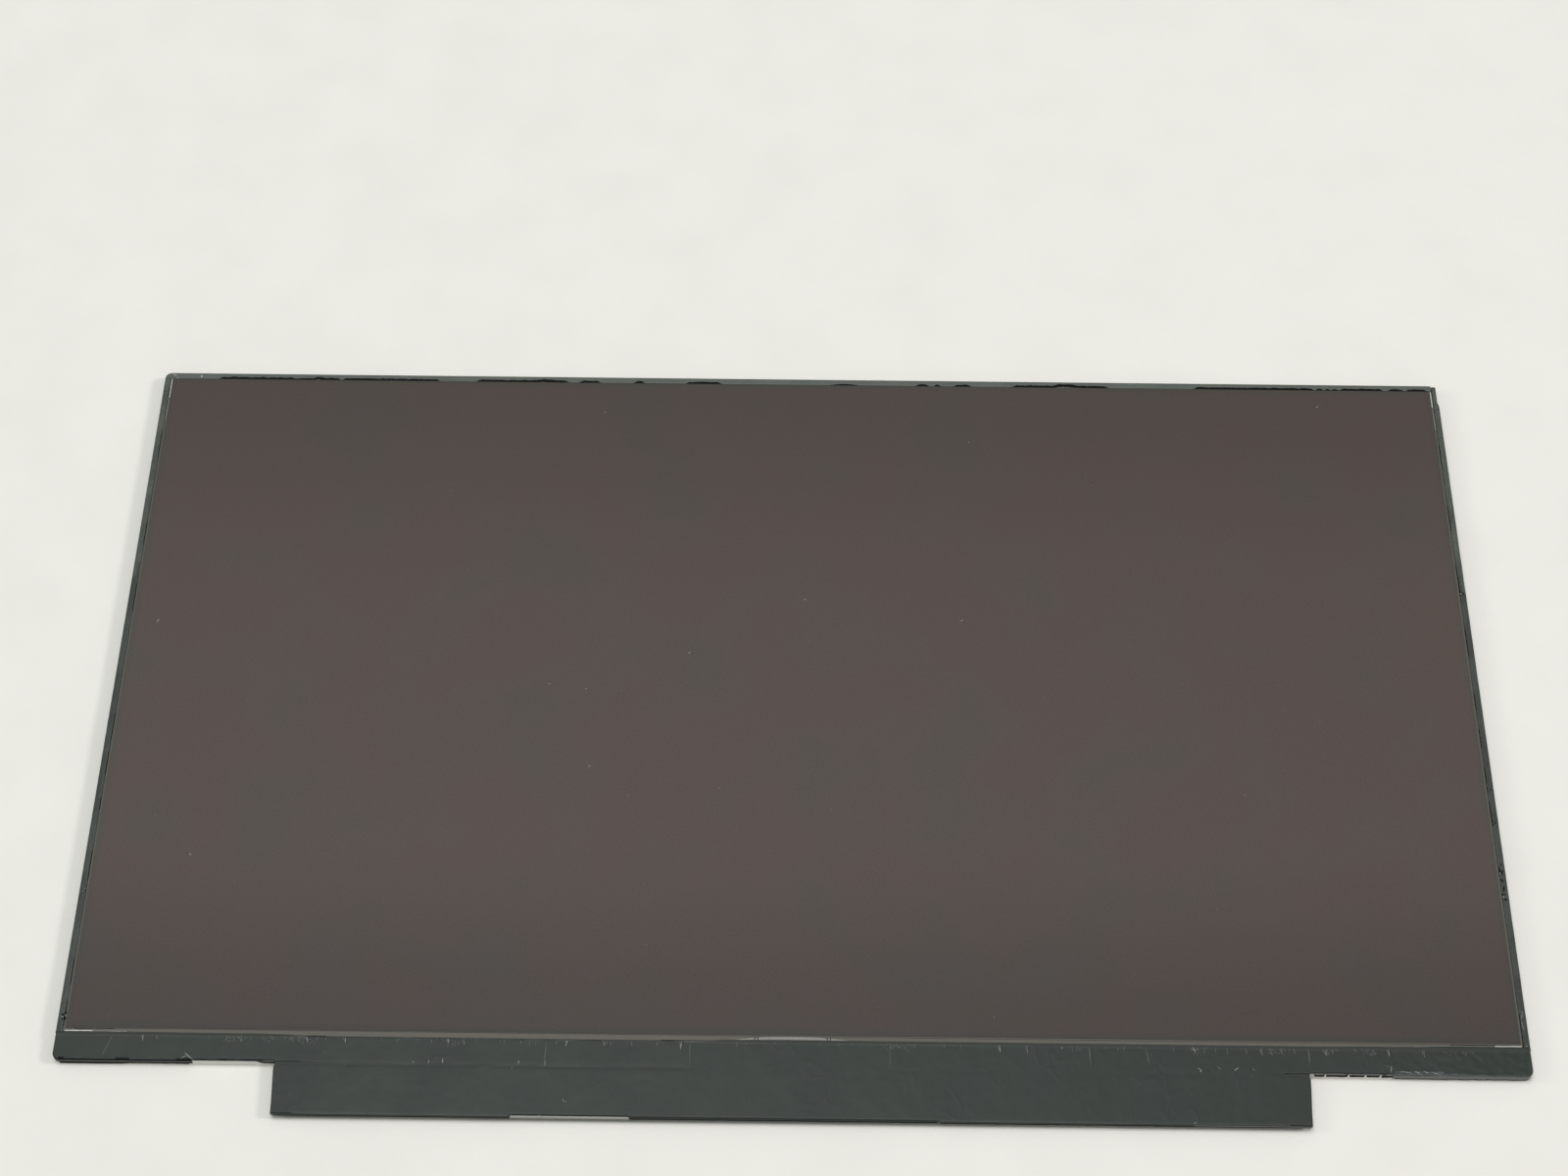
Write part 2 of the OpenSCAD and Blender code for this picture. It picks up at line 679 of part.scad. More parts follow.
// Inside of the connector, its mouth towards the board's lower edge
module connector_housing() {
    color([0.9, 0.88, 0.8]) on_board(connector_x, connector_y) difference() {
        slab(connector_w - 2 * shell_t, 0, connector_d, 0, connector_h - shell_t);
        slab(contact_count * contact_pitch + 1.4, -eps, mouth_depth, blade_z - 2 * contact_t, blade_z + contact_t);
        for (x = places(contact_count * contact_pitch, contact_count)) translate([x, 0, 0]) {
            slab(contact_w + 2 * contact_play, mouth_depth - eps, connector_d + eps,
                -eps, contact_t + contact_play);
            slab(contact_w + 2 * contact_play, mouth_depth - eps, mouth_depth + contact_t + 2 * contact_play,
                -eps, blade_z + contact_play);
        }
    }
}

// Folded shell over the top and the ends of the connector, with two feet on the board
module connector_shell() {
    color([0.75, 0.75, 0.76]) on_board(connector_x, connector_y) difference() {
        union() {
            slab(connector_w, 0, connector_d, 0, connector_h);
            slab(connector_w + 2 * shell_foot, connector_d / 2 - shell_foot, connector_d / 2 + shell_foot,
                0, shell_t);
        }
        slab(connector_w - 2 * shell_t, -eps, connector_d + eps, -eps, connector_h - shell_t);
    }
}

// Contacts: each has a tail on the board behind the housing, a riser and a blade in the mouth
module connector_contacts() {
    riser_y = mouth_depth + contact_play;
    color([0.8, 0.66, 0.32]) on_board(connector_x, connector_y)
        for (x = places(contact_count * contact_pitch, contact_count)) translate([x, 0, 0]) {
            slab(contact_w, riser_y, connector_d + 0.7, 0, contact_t);
            slab(contact_w, riser_y, riser_y + contact_t, 0, blade_z);
            slab(contact_w, 0.5, riser_y + contact_t, blade_z - contact_t, blade_z);
        }
}

// Socket for the light bar's tail, open towards the panel
module led_socket() {
    color([0.88, 0.86, 0.8]) on_board(tail_x, socket_y) difference() {
        slab(socket_w, -socket_d, 0, 0, socket_h);
        slab(tail_w + 2 * cover_play, -socket_depth, eps, tail_z - cover_play,
            tail_z + led_flex_t + cover_play);
        slab(socket_w - 2 * latch_end, -socket_d - eps, -socket_d + latch_w + cover_play,
            socket_h - latch_h - cover_play, socket_h + eps);
    }
}

// Flip bar of the socket, its free edge rounded
module led_socket_latch() {
    latch_l = socket_w - 2 * latch_end - 2 * cover_play;
    color([0.12, 0.12, 0.12]) on_board(tail_x, socket_y) translate([0, -socket_d, socket_h - latch_h]) {
        slab(latch_l, latch_h / 2, latch_w, 0, latch_h);
        translate([0, latch_h / 2, latch_h / 2]) rotate([0, 90, 0])
            cylinder(h = latch_l, r = latch_h / 2, center = true);
    }
}

// Foil from the rear cover's border, through the lip and up the wall, to the board
module ground_foil(i) {
    color([0.7, 0.7, 0.68]) translate([foil_xs[i], 0, 0]) along_x(-foil_w / 2, foil_w / 2) polygon([
        [cover_y + foil_reach, cover_recess], [wall_y, cover_recess], [wall_y, board_z],
        [pcb_top_y - foil_bond, board_z], [pcb_top_y - foil_bond, board_z - foil_t],
        [wall_y - foil_t, board_z - foil_t], [wall_y - foil_t, cover_recess - foil_t],
        [cover_y + foil_reach, cover_recess - foil_t]]);
}

// A gentle irregular wave between -1 and 1 along a torn edge
function wave(s, k) = 0.5 * sin(23 * s + k) + 0.3 * sin(61 * s + 2 * k) + 0.2 * sin(107 * s + 3 * k);

// A rounded step between 0 and 1
function ease(u) = u * u * (3 - 2 * u);

// Points of a torn edge from one place to another, above a straight line
function torn_edge(x0, x1, y, k) = [for (i = [0:tear_steps])
    let (x = x0 + (x1 - x0) * i / tear_steps) [x, y + tear * (0.5 + 0.5 * wave(x, k))]];

// The cover tape from the front: the band with its torn stretches, and the tab with its setback
module cover_outline() {
    half = board_w / 2;
    intersection() {
        rounded(panel_w, edge_y, top_y, tape_corner_r);
        polygon(concat(
            [[-panel_w / 2, filter_y], [-panel_w / 2, edge_y], [-flap_x, edge_y]],
            torn_edge(-flap_x, -half, wall_y, 40),
            [[-half, edge_y], [half, edge_y]],
            torn_edge(half, flap_x, wall_y, 210),
            [[flap_x, edge_y], [panel_w / 2, edge_y], [panel_w / 2, filter_y]]));
    }
    polygon(concat(
        [[half, edge_y + tape_t], [-half, edge_y + tape_t], [-half, foot_y], [setback_start, foot_y]],
        [for (i = [0:setback_run]) [setback_end + i, foot_y + setback * (1 - ease(i / setback_run))]],
        [[half, foot_y]]));
}

// Ring of folded tape round the outline, from the fold's end up to a level
module fold_ring(z1) {
    difference() {
        round_slab(panel_w, edge_y, top_y, tape_corner_r, fold_end_z, z1);
        round_slab(panel_w - 2 * tape_t, wall_y, top_y - tape_t, corner_r, fold_end_z - eps, z1 + eps);
    }
}

// Cover tape: over the ledge and the board, sunk between them at the films, climbing the glass at
// its ends, folded down the wall in a flap at each side and round the board's lower edge
module cover_tape() {
    color([0.26, 0.29, 0.28]) {
        difference() {
            translate([0, 0, film_top_z]) linear_extrude(tape_t) cover_outline();
            for (x = film_xs) translate([x, 0, 0]) slab(film_w, pcb_top_y, wall_y, film_top_z - eps, tape_z + eps);
        }
        for (x = film_xs) along_x(x - film_w / 2, x + film_w / 2)
            sagging(pcb_top_y - eps, wall_y + eps, film_top_z, tape_t);
        for (side = [0, 1]) mirror([side, 0, 0]) {
            intersection() {
                fold_ring(tape_z);
                translate([flap_x, edge_y, 0]) cube([flap_l, filter_y - edge_y, panel_t]);
            }
            along_x(glass_w / 2 - climb_l, glass_w / 2) polygon([[filter_y - tape_t, film_top_z],
                [filter_y, film_top_z], [filter_y, edge_tape_z], [filter_y - tape_t, edge_tape_z]]);
            translate([0, 0, face_z]) linear_extrude(tape_t)
                polygon([[glass_w / 2 - climb_l, filter_y - tape_t], [glass_w / 2, filter_y - tape_t],
                    [glass_w / 2, filter_y + climb], [glass_w / 2 - climb_l, filter_y + climb / 8]]);
            translate([board_w / 2 - tape_t, foot_y, board_z])
                cube([tape_t, pcb_top_y - foot_y, tape_z - board_z]);
        }
        for (span = [[-board_w / 2, setback_start], [setback_end + setback_run, board_w / 2]])
            along_x(span[0], span[1]) polygon([[foot_y, tape_z], [foot_y, board_z - tape_t],
                [foot_y + wrap_w, board_z - tape_t], [foot_y + wrap_w, board_z], [pcb_y, board_z], [pcb_y, tape_z]]);
    }
}

// Section of an edge tape: a reach over the front and a drop down the wall, joined by a round fold
module fold_section(reach, drop, outer_r, inner_r) {
    difference() {
        fold_shape(reach, drop, outer_r);
        translate([-tape_t, -tape_t]) fold_shape(reach, drop, inner_r);
    }
}

// A block of that section whose upper outer corner is round or square
module fold_shape(reach, drop, r) {
    translate([-reach, -drop]) square([reach - r, drop]);
    translate([-reach, -drop]) square([reach, drop - r]);
    if (r > 0) translate([-r, -r]) circle(r);
}

// Edge tape down one side, with bites along its inner edge at some heights above the lower edge
module side_tape(y1, bites) {
    difference() {
        translate([panel_w / 2, 0, edge_tape_z]) along_y(filter_y, y1)
            fold_section(panel_w / 2 - side_tape_x, edge_tape_z - fold_end_z, fold_r, fold_r - tape_t);
        for (y = bites) translate([side_tape_x - bite_d, edge_y + y, face_z - eps]) linear_extrude(2 * tape_t)
            polygon([[0, -1.6], [2 * bite_d, -0.5], [1.6 * bite_d, 0.5], [0, 1.3]]);
    }
}

module left_edge_tape() {
    color([0.3, 0.33, 0.31]) mirror([1, 0, 0]) side_tape(top_tape_y, left_bites);
}

// The right tape stands off the wall, but its upper end lies tight against it
module right_edge_tape() {
    tight_x = frame_w / 2 + tape_t;
    color([0.3, 0.33, 0.31]) {
        side_tape(top_y - tight_l, right_bites);
        translate([tight_x, 0, edge_tape_z]) along_y(top_y - tight_l - eps, frame_top_y)
            fold_section(tight_x - side_tape_x, edge_tape_z - fold_end_z, fold_r / 2, 0);
    }
}

// Rise of the top tape's torn lower edge above its straight line
function top_rise(x) = tear / 2 * (0.5 + 0.5 * wave(x, 120))
    + max([for (h = top_humps) h[2] * max(0, 1 - pow((x - h[0]) / (h[1] / 2), 2))]);

// Top edge tape: a torn lower edge, a fold over the top wall and round the left corner
module top_edge_tape() {
    right_x = glass_w / 2;
    span = right_x + panel_w / 2;
    steps = 140;
    color([0.33, 0.36, 0.34]) intersection() {
        union() {
            round_slab(panel_w, edge_y, top_y, tape_corner_r, face_z, edge_tape_z);
            fold_ring(edge_tape_z);
        }
        translate([0, 0, fold_end_z]) linear_extrude(panel_t) polygon(concat(
            [for (i = [0:steps]) let (x = -panel_w / 2 + span * i / steps) [x, top_tape_y + top_rise(x)]],
            [[right_x, top_y], [-panel_w / 2, top_y]]));
    }
}

rear_cover();
mould_frame();
reflector_sheet();
light_guide();
lower_diffuser();
lower_prism_sheet();
upper_prism_sheet();
upper_diffuser();
led_flex();
led_packages();
light_bar_tape();
rim_tape();
ledge_tape();
rear_polarizer();
array_glass();
filter_glass();
front_polarizer();
control_board();
timing_chip();
power_chip();
light_driver_chip();
memory_chip();
ceramic_capacitors();
chip_resistors();
connector_housing();
connector_shell();
connector_contacts();
led_socket();
led_socket_latch();
cover_tape();
top_edge_tape();
left_edge_tape();
right_edge_tape();
for (i = [0:3]) source_film(i);
for (i = [0:3]) driver_chip(i);
for (i = [0:2]) power_inductor(i);
for (i = [0:2]) ground_foil(i);
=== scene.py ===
"""Looks of a bare laptop screen panel that lies face up, its control board towards the viewer."""

import math
from random import Random

import bmesh
import bpy
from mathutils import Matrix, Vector, noise


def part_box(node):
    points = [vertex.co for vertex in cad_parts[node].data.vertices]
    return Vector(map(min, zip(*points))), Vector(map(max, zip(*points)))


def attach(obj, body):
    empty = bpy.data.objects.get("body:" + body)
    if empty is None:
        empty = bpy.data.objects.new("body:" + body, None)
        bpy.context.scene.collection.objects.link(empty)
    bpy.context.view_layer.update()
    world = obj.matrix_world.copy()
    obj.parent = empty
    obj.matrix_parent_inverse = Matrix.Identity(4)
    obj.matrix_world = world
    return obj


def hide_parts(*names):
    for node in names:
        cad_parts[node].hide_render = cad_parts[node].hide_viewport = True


bl_info = {
    "name": "Laptop Screen Panel",
    "version": (1, 0, 0),
    "blender": (4, 5, 0),
    "location": "3D View > Sidebar > Screen Panel",
    "description": "Builds the tapes, glass, board parts and stage of a laptop screen panel",
    "category": "Object",
}

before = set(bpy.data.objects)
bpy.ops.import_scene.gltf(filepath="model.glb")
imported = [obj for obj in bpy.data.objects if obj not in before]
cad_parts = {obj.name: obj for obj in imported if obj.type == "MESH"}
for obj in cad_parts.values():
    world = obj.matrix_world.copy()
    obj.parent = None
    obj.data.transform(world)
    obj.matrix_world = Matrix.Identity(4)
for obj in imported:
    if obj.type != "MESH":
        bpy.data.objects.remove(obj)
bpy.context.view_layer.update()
MM = 0.001


def limit(node, high, axis):
    """One limit of a CAD node, in millimetres."""
    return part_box(node)[high][axis] / MM


# Places and levels of the solids, in millimetres
HALF_W = limit("cover_tape", 1, 0)
FOOT_Y = limit("cover_tape", 0, 1)
TOP_Y = limit("top_edge_tape", 1, 1)
WALL_Y = limit("mould_frame", 0, 1)
FRAME_X = limit("mould_frame", 1, 0)
LEDGE_Y = limit("filter_glass", 0, 1)
SCREEN_X = limit("front_polarizer", 1, 0)
SCREEN_TOP_Y = limit("front_polarizer", 1, 1)
SCREEN_Y = limit("front_polarizer", 0, 1)
GLASS_X = limit("filter_glass", 1, 0)
FACE_Z = limit("filter_glass", 1, 2)
SCREEN_Z = limit("front_polarizer", 1, 2)
EDGE_TAPE_Z = limit("cover_tape", 1, 2)
TAPE_T = EDGE_TAPE_Z - FACE_Z
TAPE_Z = limit("source_film_1", 1, 2) + TAPE_T
EDGE_Y = WALL_Y - TAPE_T
BOARD_X = limit("control_board", 1, 0) + TAPE_T
BOARD_TOP_Y = limit("control_board", 1, 1)
BOARD_Z = limit("control_board", 0, 2)
TAB_FLARE = 0.7
FLAP_X = HALF_W - 30.0
CORNER_R = 1.6
CORNER_X = HALF_W - CORNER_R


# Small helpers for shapes

# Steps of a mark along its length and its height over a surface, and the thickness of marks and torn layers
MARK_STEPS = 6
MARK_LIFT = 0.008
MARK_T = 0.006
LAYER_T = 0.01
# Points closer than this become one, and edges shorter than this go
WELD = 0.002
SLIVER = 0.0005


def smooth(a, b, v):
    """Goes smoothly from 0 at a to 1 at b."""
    t = min(1.0, max(0.0, (v - a) / (b - a)))
    return t * t * (3.0 - 2.0 * t)


def wave(x, y, pitch, seed):
    """Gentle noise between about -1 and 1 with the given pitch in millimetres."""
    return noise.noise(Vector((x / pitch, y / pitch, seed)))


# Waves of a torn edge: share of its height, row of the noise, and pitch
TEAR_WAVES = ((0.5, 0.0, 2.6), (0.3, 5.0, 0.9), (0.25, 9.0, 0.35))


def torn(s, seed):
    """Height between 0 and 1 of a torn edge at a distance along it."""
    ragged = sum(share * wave(s, row, pitch, seed) for share, row, pitch in TEAR_WAVES)
    return min(1.0, max(0.0, 0.5 + ragged))


def spread(start, end, step):
    """Evenly spaced places from start to end, no further apart than the step."""
    count = max(1, math.ceil(abs(end - start) / step))
    return [start + (end - start) * i / count for i in range(count + 1)]


def sheet_grid(bm, rows, pick=0):
    """Adds a sheet of quads through equally long rows of points in millimetres.

    pick is the number of its material, or gives that from a face's first point and its place in the row."""
    lines = [[bm.verts.new(Vector(p) * MM) for p in row] for row in rows]
    for points, first, second in zip(rows, lines, lines[1:]):
        for i in range(len(first) - 1):
            face = bm.faces.new((first[i], first[i + 1], second[i + 1], second[i]))
            face.material_index = int(pick(points[i], i)) if callable(pick) else pick
            face.smooth = True


def add_mark(bm, level, start, end, width, material=0):
    """A scratch or crease line that follows a surface, thickest in its middle.

    level gives the surface's height at a place."""
    length = math.dist(start, end)
    across = ((start[1] - end[1]) / length, (end[0] - start[0]) / length)
    rows = []
    for i in range(MARK_STEPS + 1):
        t = i / MARK_STEPS
        x, y = start[0] + (end[0] - start[0]) * t, start[1] + (end[1] - start[1]) * t
        aside = 0.05 * wave(y, x, 0.8, 5.0)
        half = width / 2.0 * (0.2 + math.sin(math.pi * t)) / 1.2
        places = [(x + across[0] * d, y + across[1] * d) for d in (aside - half, aside + half)]
        rows.append([(*place, level(*place) + MARK_LIFT) for place in places])
    sheet_grid(bm, rows, material)


def make_piece(name, bm, materials, nodes=(), thickness=0.0):
    """Turns a mesh into a piece that rides on the panel, as a sheet with a thickness or as it is."""
    bmesh.ops.remove_doubles(bm, verts=bm.verts, dist=WELD * MM)
    bmesh.ops.dissolve_degenerate(bm, edges=bm.edges, dist=SLIVER * MM)
    bmesh.ops.recalc_face_normals(bm, faces=bm.faces)
    if thickness and sum(f.normal.z * f.calc_area() for f in bm.faces) < 0.0:
        bmesh.ops.reverse_faces(bm, faces=bm.faces)
    mesh = bpy.data.meshes.new(name)
    bm.to_mesh(mesh)
    bm.free()
    piece = bpy.data.objects.new(name, mesh)
    bpy.context.scene.collection.objects.link(piece)
    for material in materials:
        mesh.materials.append(material)
    if thickness:
        solid = piece.modifiers.new("Thickness", "SOLIDIFY")
        solid.thickness = thickness * MM
        solid.offset = -1.0
        solid.use_even_offset = True
        solid.thickness_clamp = 1.0
    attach(piece, "root")
    if nodes:
        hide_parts(*nodes)
    return piece


def make_sheets(name, grids, materials, nodes=(), thickness=LAYER_T):
    """Makes a piece of sheets, each given as its rows and its pick of a material."""
    bm = bmesh.new()
    for rows, pick in grids:
        sheet_grid(bm, rows, pick)
    make_piece(name, bm, materials, nodes, thickness)


def finish_nodes(material, *names):
    """Gives CAD nodes their material."""
    for name in names:
        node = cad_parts[name]
        if not node.material_slots:
            node.data.materials.append(material)
        for slot in node.material_slots:
            slot.material = material


def numbered(name, count):
    """Names of like CAD nodes."""
    return ["%s_%d" % (name, i + 1) for i in range(count)]


# Small helpers for materials

def add(tree, kind, inputs=(), **settings):
    """Adds a shader node, sets its properties, and sets or links its inputs."""
    node = tree.nodes.new(kind)
    for name, value in settings.items():
        setattr(node, name, value)
    for name, value in dict(inputs).items():
        if isinstance(value, bpy.types.NodeSocket):
            tree.links.new(value, node.inputs[name])
        else:
            node.inputs[name].default_value = value
    return node


def effect_group(name, inputs, outputs):
    """An empty node group with its named inputs and outputs."""
    group = bpy.data.node_groups.new(name, "ShaderNodeTree")
    for label, default in inputs.items():
        socket = group.interface.new_socket(label, in_out="INPUT", socket_type="NodeSocketFloat")
        socket.default_value = default
    for label in outputs:
        group.interface.new_socket(label, in_out="OUTPUT", socket_type="NodeSocketFloat")
    return group, group.nodes.new("NodeGroupInput").outputs, group.nodes.new("NodeGroupOutput").inputs


def scaled_place(tree, scale, stretch=(1.0, 1.0, 1.0)):
    """The place on the piece in millimetres, times a scale."""
    place = add(tree, "ShaderNodeTexCoord").outputs["Object"]
    shaped = add(tree, "ShaderNodeMapping", {"Vector": place, "Scale": [s / MM for s in stretch]})
    return add(tree, "ShaderNodeVectorMath", {0: shaped.outputs["Vector"], "Scale": scale},
               operation="SCALE").outputs[0]


def band(tree, value, low, high, least=0.0, most=1.0, curve="LINEAR"):
    """Maps a value so that low gives the least and high the most, and clamps it."""
    return add(tree, "ShaderNodeMapRange", {
        "Value": value, "From Min": low, "From Max": high, "To Min": least, "To Max": most},
        interpolation_type=curve).outputs["Result"]


def maths(tree, operation, first, second=0.0):
    """One step of arithmetic."""
    return add(tree, "ShaderNodeMath", {0: first, 1: second}, operation=operation).outputs[0]


def shared(tree, first, second, share):
    """The first value at its share, and the second at what is left."""
    return maths(tree, "ADD", maths(tree, "MULTIPLY", first, share),
                 maths(tree, "MULTIPLY", second, 1.0 - share))


def cloudy(tree, place, scale=1.0, detail=2.0, output="Fac"):
    """Soft noise over a place."""
    noise_node = add(tree, "ShaderNodeTexNoise", {"Vector": place, "Scale": scale, "Detail": detail})
    return noise_node.outputs[output]


def tint(tree, amount, first, second):
    """Goes from the first colour to the second by an amount that varies over the surface."""
    mix = add(tree, "ShaderNodeMix", data_type="RGBA")
    for socket, value in zip((mix.inputs[0], mix.inputs[6], mix.inputs[7]), (amount, first, second)):
        if isinstance(value, bpy.types.NodeSocket):
            tree.links.new(value, socket)
        else:
            socket.default_value = (*value, 1.0)
    return mix.outputs[2]


def combined(tree, blend, first, second):
    """One colour times another, or added to it."""
    mix = add(tree, "ShaderNodeMix", {0: 1.0}, data_type="RGBA", blend_type=blend)
    tree.links.new(first, mix.inputs[6])
    tree.links.new(second, mix.inputs[7])
    return mix.outputs[2]


def dimmed(tree, colour, amount, first, second):
    """A colour times a strength that goes from the first to the second by an amount."""
    return combined(tree, "MULTIPLY", colour, tint(tree, amount, (first,) * 3, (second,) * 3))


def grain_effect():
    """Fine grain of matt films, sheets and moulded plastic."""
    group, given, out = effect_group("Fine Grain", {"Pitch": 0.3}, ("Grain",))
    scale = maths(group, "DIVIDE", 1.0, given["Pitch"])
    fine = cloudy(group, scaled_place(group, scale))
    group.links.new(band(group, fine, 0.3, 0.7), out["Grain"])
    return group


def crinkle_effect():
    """Creases, dents and satin patches of a thin film that was handled."""
    group, given, out = effect_group("Crinkled Film", {"Pitch": 4.0, "Sharpness": 0.1}, ("Height", "Patches"))
    scale = maths(group, "DIVIDE", 1.0, given["Pitch"])
    place = scaled_place(group, scale, (1.0, 0.6, 1.0))
    bent = cloudy(group, place, 0.9, output="Color")
    moved = add(group, "ShaderNodeVectorMath", {0: bent, 1: place}, operation="ADD").outputs[0]
    cells = add(group, "ShaderNodeTexVoronoi", {"Vector": moved, "Scale": 1.0}, feature="DISTANCE_TO_EDGE")
    ridge = band(group, cells.outputs["Distance"], 0.0, given["Sharpness"], 1.0, 0.0)
    soft = cloudy(group, place, 1.7, 4.0)
    faint = cloudy(group, place, 0.35)
    shown = maths(group, "MULTIPLY", ridge, band(group, faint, 0.45, 0.65))
    group.links.new(maths(group, "ADD", maths(group, "MULTIPLY", shown, 0.35), soft), out["Height"])
    group.links.new(band(group, faint, 0.42, 0.62), out["Patches"])
    return group


def dust_effect():
    """Scattered pale specks."""
    group, given, out = effect_group("Fine Dust", {"Spacing": 6.0, "Size": 0.02}, ("Specks",))
    scale = maths(group, "DIVIDE", 1.0, given["Spacing"])
    place = scaled_place(group, scale)
    dots = add(group, "ShaderNodeTexVoronoi", {"Vector": place, "Scale": 1.0, "Randomness": 1.0})
    size = maths(group, "MULTIPLY", given["Size"], dots.outputs["Color"])
    inside = maths(group, "LESS_THAN", dots.outputs["Distance"], size)
    group.links.new(maths(group, "MULTIPLY", inside, 0.8), out["Specks"])
    return group


EFFECTS = {"grain": grain_effect, "crinkle": crinkle_effect, "dust": dust_effect}
MADE_EFFECTS = {}


def effect(tree, kind, **values):
    """Places an effect in a material with its own values, and builds it when first asked for."""
    if kind not in MADE_EFFECTS:
        MADE_EFFECTS[kind] = EFFECTS[kind]()
    node = add(tree, "ShaderNodeGroup", node_tree=MADE_EFFECTS[kind])
    for name, value in values.items():
        node.inputs[name.capitalize()].default_value = value
    return node.outputs


def times(colour, strength):
    """A colour made darker or lighter."""
    return [c * strength for c in colour]


def plain_shader(name, colour, roughness, **sockets):
    """A material with its shader set, ready for effects."""
    material = bpy.data.materials.new(name)
    material.use_nodes = True
    shader = material.node_tree.nodes["Principled BSDF"]
    shader.inputs["Base Color"].default_value = (*colour, 1.0)
    shader.inputs["Roughness"].default_value = roughness
    for socket, value in sockets.items():
        shader.inputs[socket.replace("_", " ")].default_value = value
    return material, material.node_tree, shader.inputs


def bumped(tree, sockets, height, depth):
    """Feeds a height, in millimetres at full strength, to the shader's normal."""
    bump = add(tree, "ShaderNodeBump", {"Height": height, "Distance": depth * MM, "Strength": 1.0})
    tree.links.new(bump.outputs["Normal"], sockets["Normal"])


def grained(name, colour, roughness, pitch=0.3, contrast=0.12, depth=0.004, **sockets):
    """A surface with a fine grain in its colour, gloss and height."""
    material, tree, shader = plain_shader(name, colour, roughness, **sockets)
    grain = effect(tree, "grain", pitch=pitch)["Grain"]
    light = [min(1.0, c) for c in times(colour, 1.0 + contrast)]
    tree.links.new(tint(tree, grain, times(colour, 1.0 - contrast), light), shader["Base Color"])
    rough = band(tree, grain, 0.0, 1.0, roughness * 0.9, min(1.0, roughness * 1.1))
    tree.links.new(rough, shader["Roughness"])
    bumped(tree, shader, grain, depth)
    return material


# Gloss of the tapes' films
TAPE_GLOSS = 0.3


def film_material(name, colour, patch_colour, roughness, pitch, depth, spacing=3.5, size=0.035):
    """A thin handled tape: satin, crinkled, with paler patches and fine dust."""
    material, tree, shader = plain_shader(name, colour, roughness, Specular_IOR_Level=TAPE_GLOSS)
    marks = effect(tree, "crinkle", pitch=pitch, sharpness=0.08)
    grain = effect(tree, "grain", pitch=0.25)["Grain"]
    mottle = effect(tree, "grain", pitch=pitch * 0.4)["Grain"]
    toned = tint(tree, shared(tree, marks["Patches"], mottle, 0.45), colour, patch_colour)
    specks = effect(tree, "dust", spacing=spacing, size=size)["Specks"]
    dusty = tint(tree, specks, (0.0, 0.0, 0.0), (0.16, 0.17, 0.165))
    tree.links.new(combined(tree, "ADD", toned, dusty), shader["Base Color"])
    rough = band(tree, marks["Patches"], 0.0, 1.0, roughness, roughness * 1.2)
    tree.links.new(rough, shader["Roughness"])
    height = maths(tree, "ADD", marks["Height"], maths(tree, "MULTIPLY", grain, 0.06))
    bumped(tree, shader, height, depth)
    return material


def metal_material(name, colour, roughness, stretch, contrast=0.08):
    """Rolled or plated metal with a faint grain along one direction."""
    material, tree, shader = plain_shader(name, colour, roughness, Metallic=1.0)
    lines = cloudy(tree, scaled_place(tree, 1.0, stretch), detail=3.0)
    cloud = effect(tree, "crinkle", pitch=40.0, sharpness=0.05)["Patches"]
    tree.links.new(tint(tree, cloud, colour, times(colour, 1.0 - contrast)), shader["Base Color"])
    rough = band(tree, lines, 0.0, 1.0, roughness * 0.85, roughness * 1.2)
    tree.links.new(rough, shader["Roughness"])
    bumped(tree, shader, lines, 0.0012)
    return material


# Settings that a user may change

def colour_setting(name, description, default):
    """A colour setting."""
    return bpy.props.FloatVectorProperty(
        name=name, description=description, subtype="COLOR", size=3, min=0.0, max=1.0, default=default)


def length_setting(name, description, least, most, default):
    """A length setting, given in millimetres."""
    return bpy.props.FloatProperty(
        name=name, description=description, unit="LENGTH",
        min=least * MM, max=most * MM, default=default * MM)


def power_setting(name, description, default):
    """The power of a lamp."""
    return bpy.props.FloatProperty(
        name=name, description=description, unit="POWER", min=0.0, max=500.0, default=default)


class ScreenSettings(bpy.types.PropertyGroup):
    """Colours and grain of the display cell."""

    face: colour_setting("Face", "Colour of the lit area when it is off", (0.082, 0.063, 0.0565))
    patches: colour_setting("Patches", "Colour of the faint patches in the face", (0.077, 0.065, 0.0575))
    border: colour_setting("Border", "Colour of the border round the lit area", (0.067, 0.063, 0.053))
    glass: colour_setting("Glass", "Colour of the glass where it shows beside the tapes",
                          (0.110, 0.105, 0.088))
    # Colour of the painted highlights along the glass's edges
    ground: colour_setting("Glint edges", "Colour of the glass's ground and chipped edges",
                           (0.62, 0.62, 0.57))
    grain: length_setting("Grain", "Pitch of the matt face's grain", 0.05, 1.0, 0.22)
    roughness: bpy.props.FloatProperty(
        name="Roughness", description="Roughness of the matt face",
        subtype="FACTOR", min=0.0, max=1.0, default=0.45)


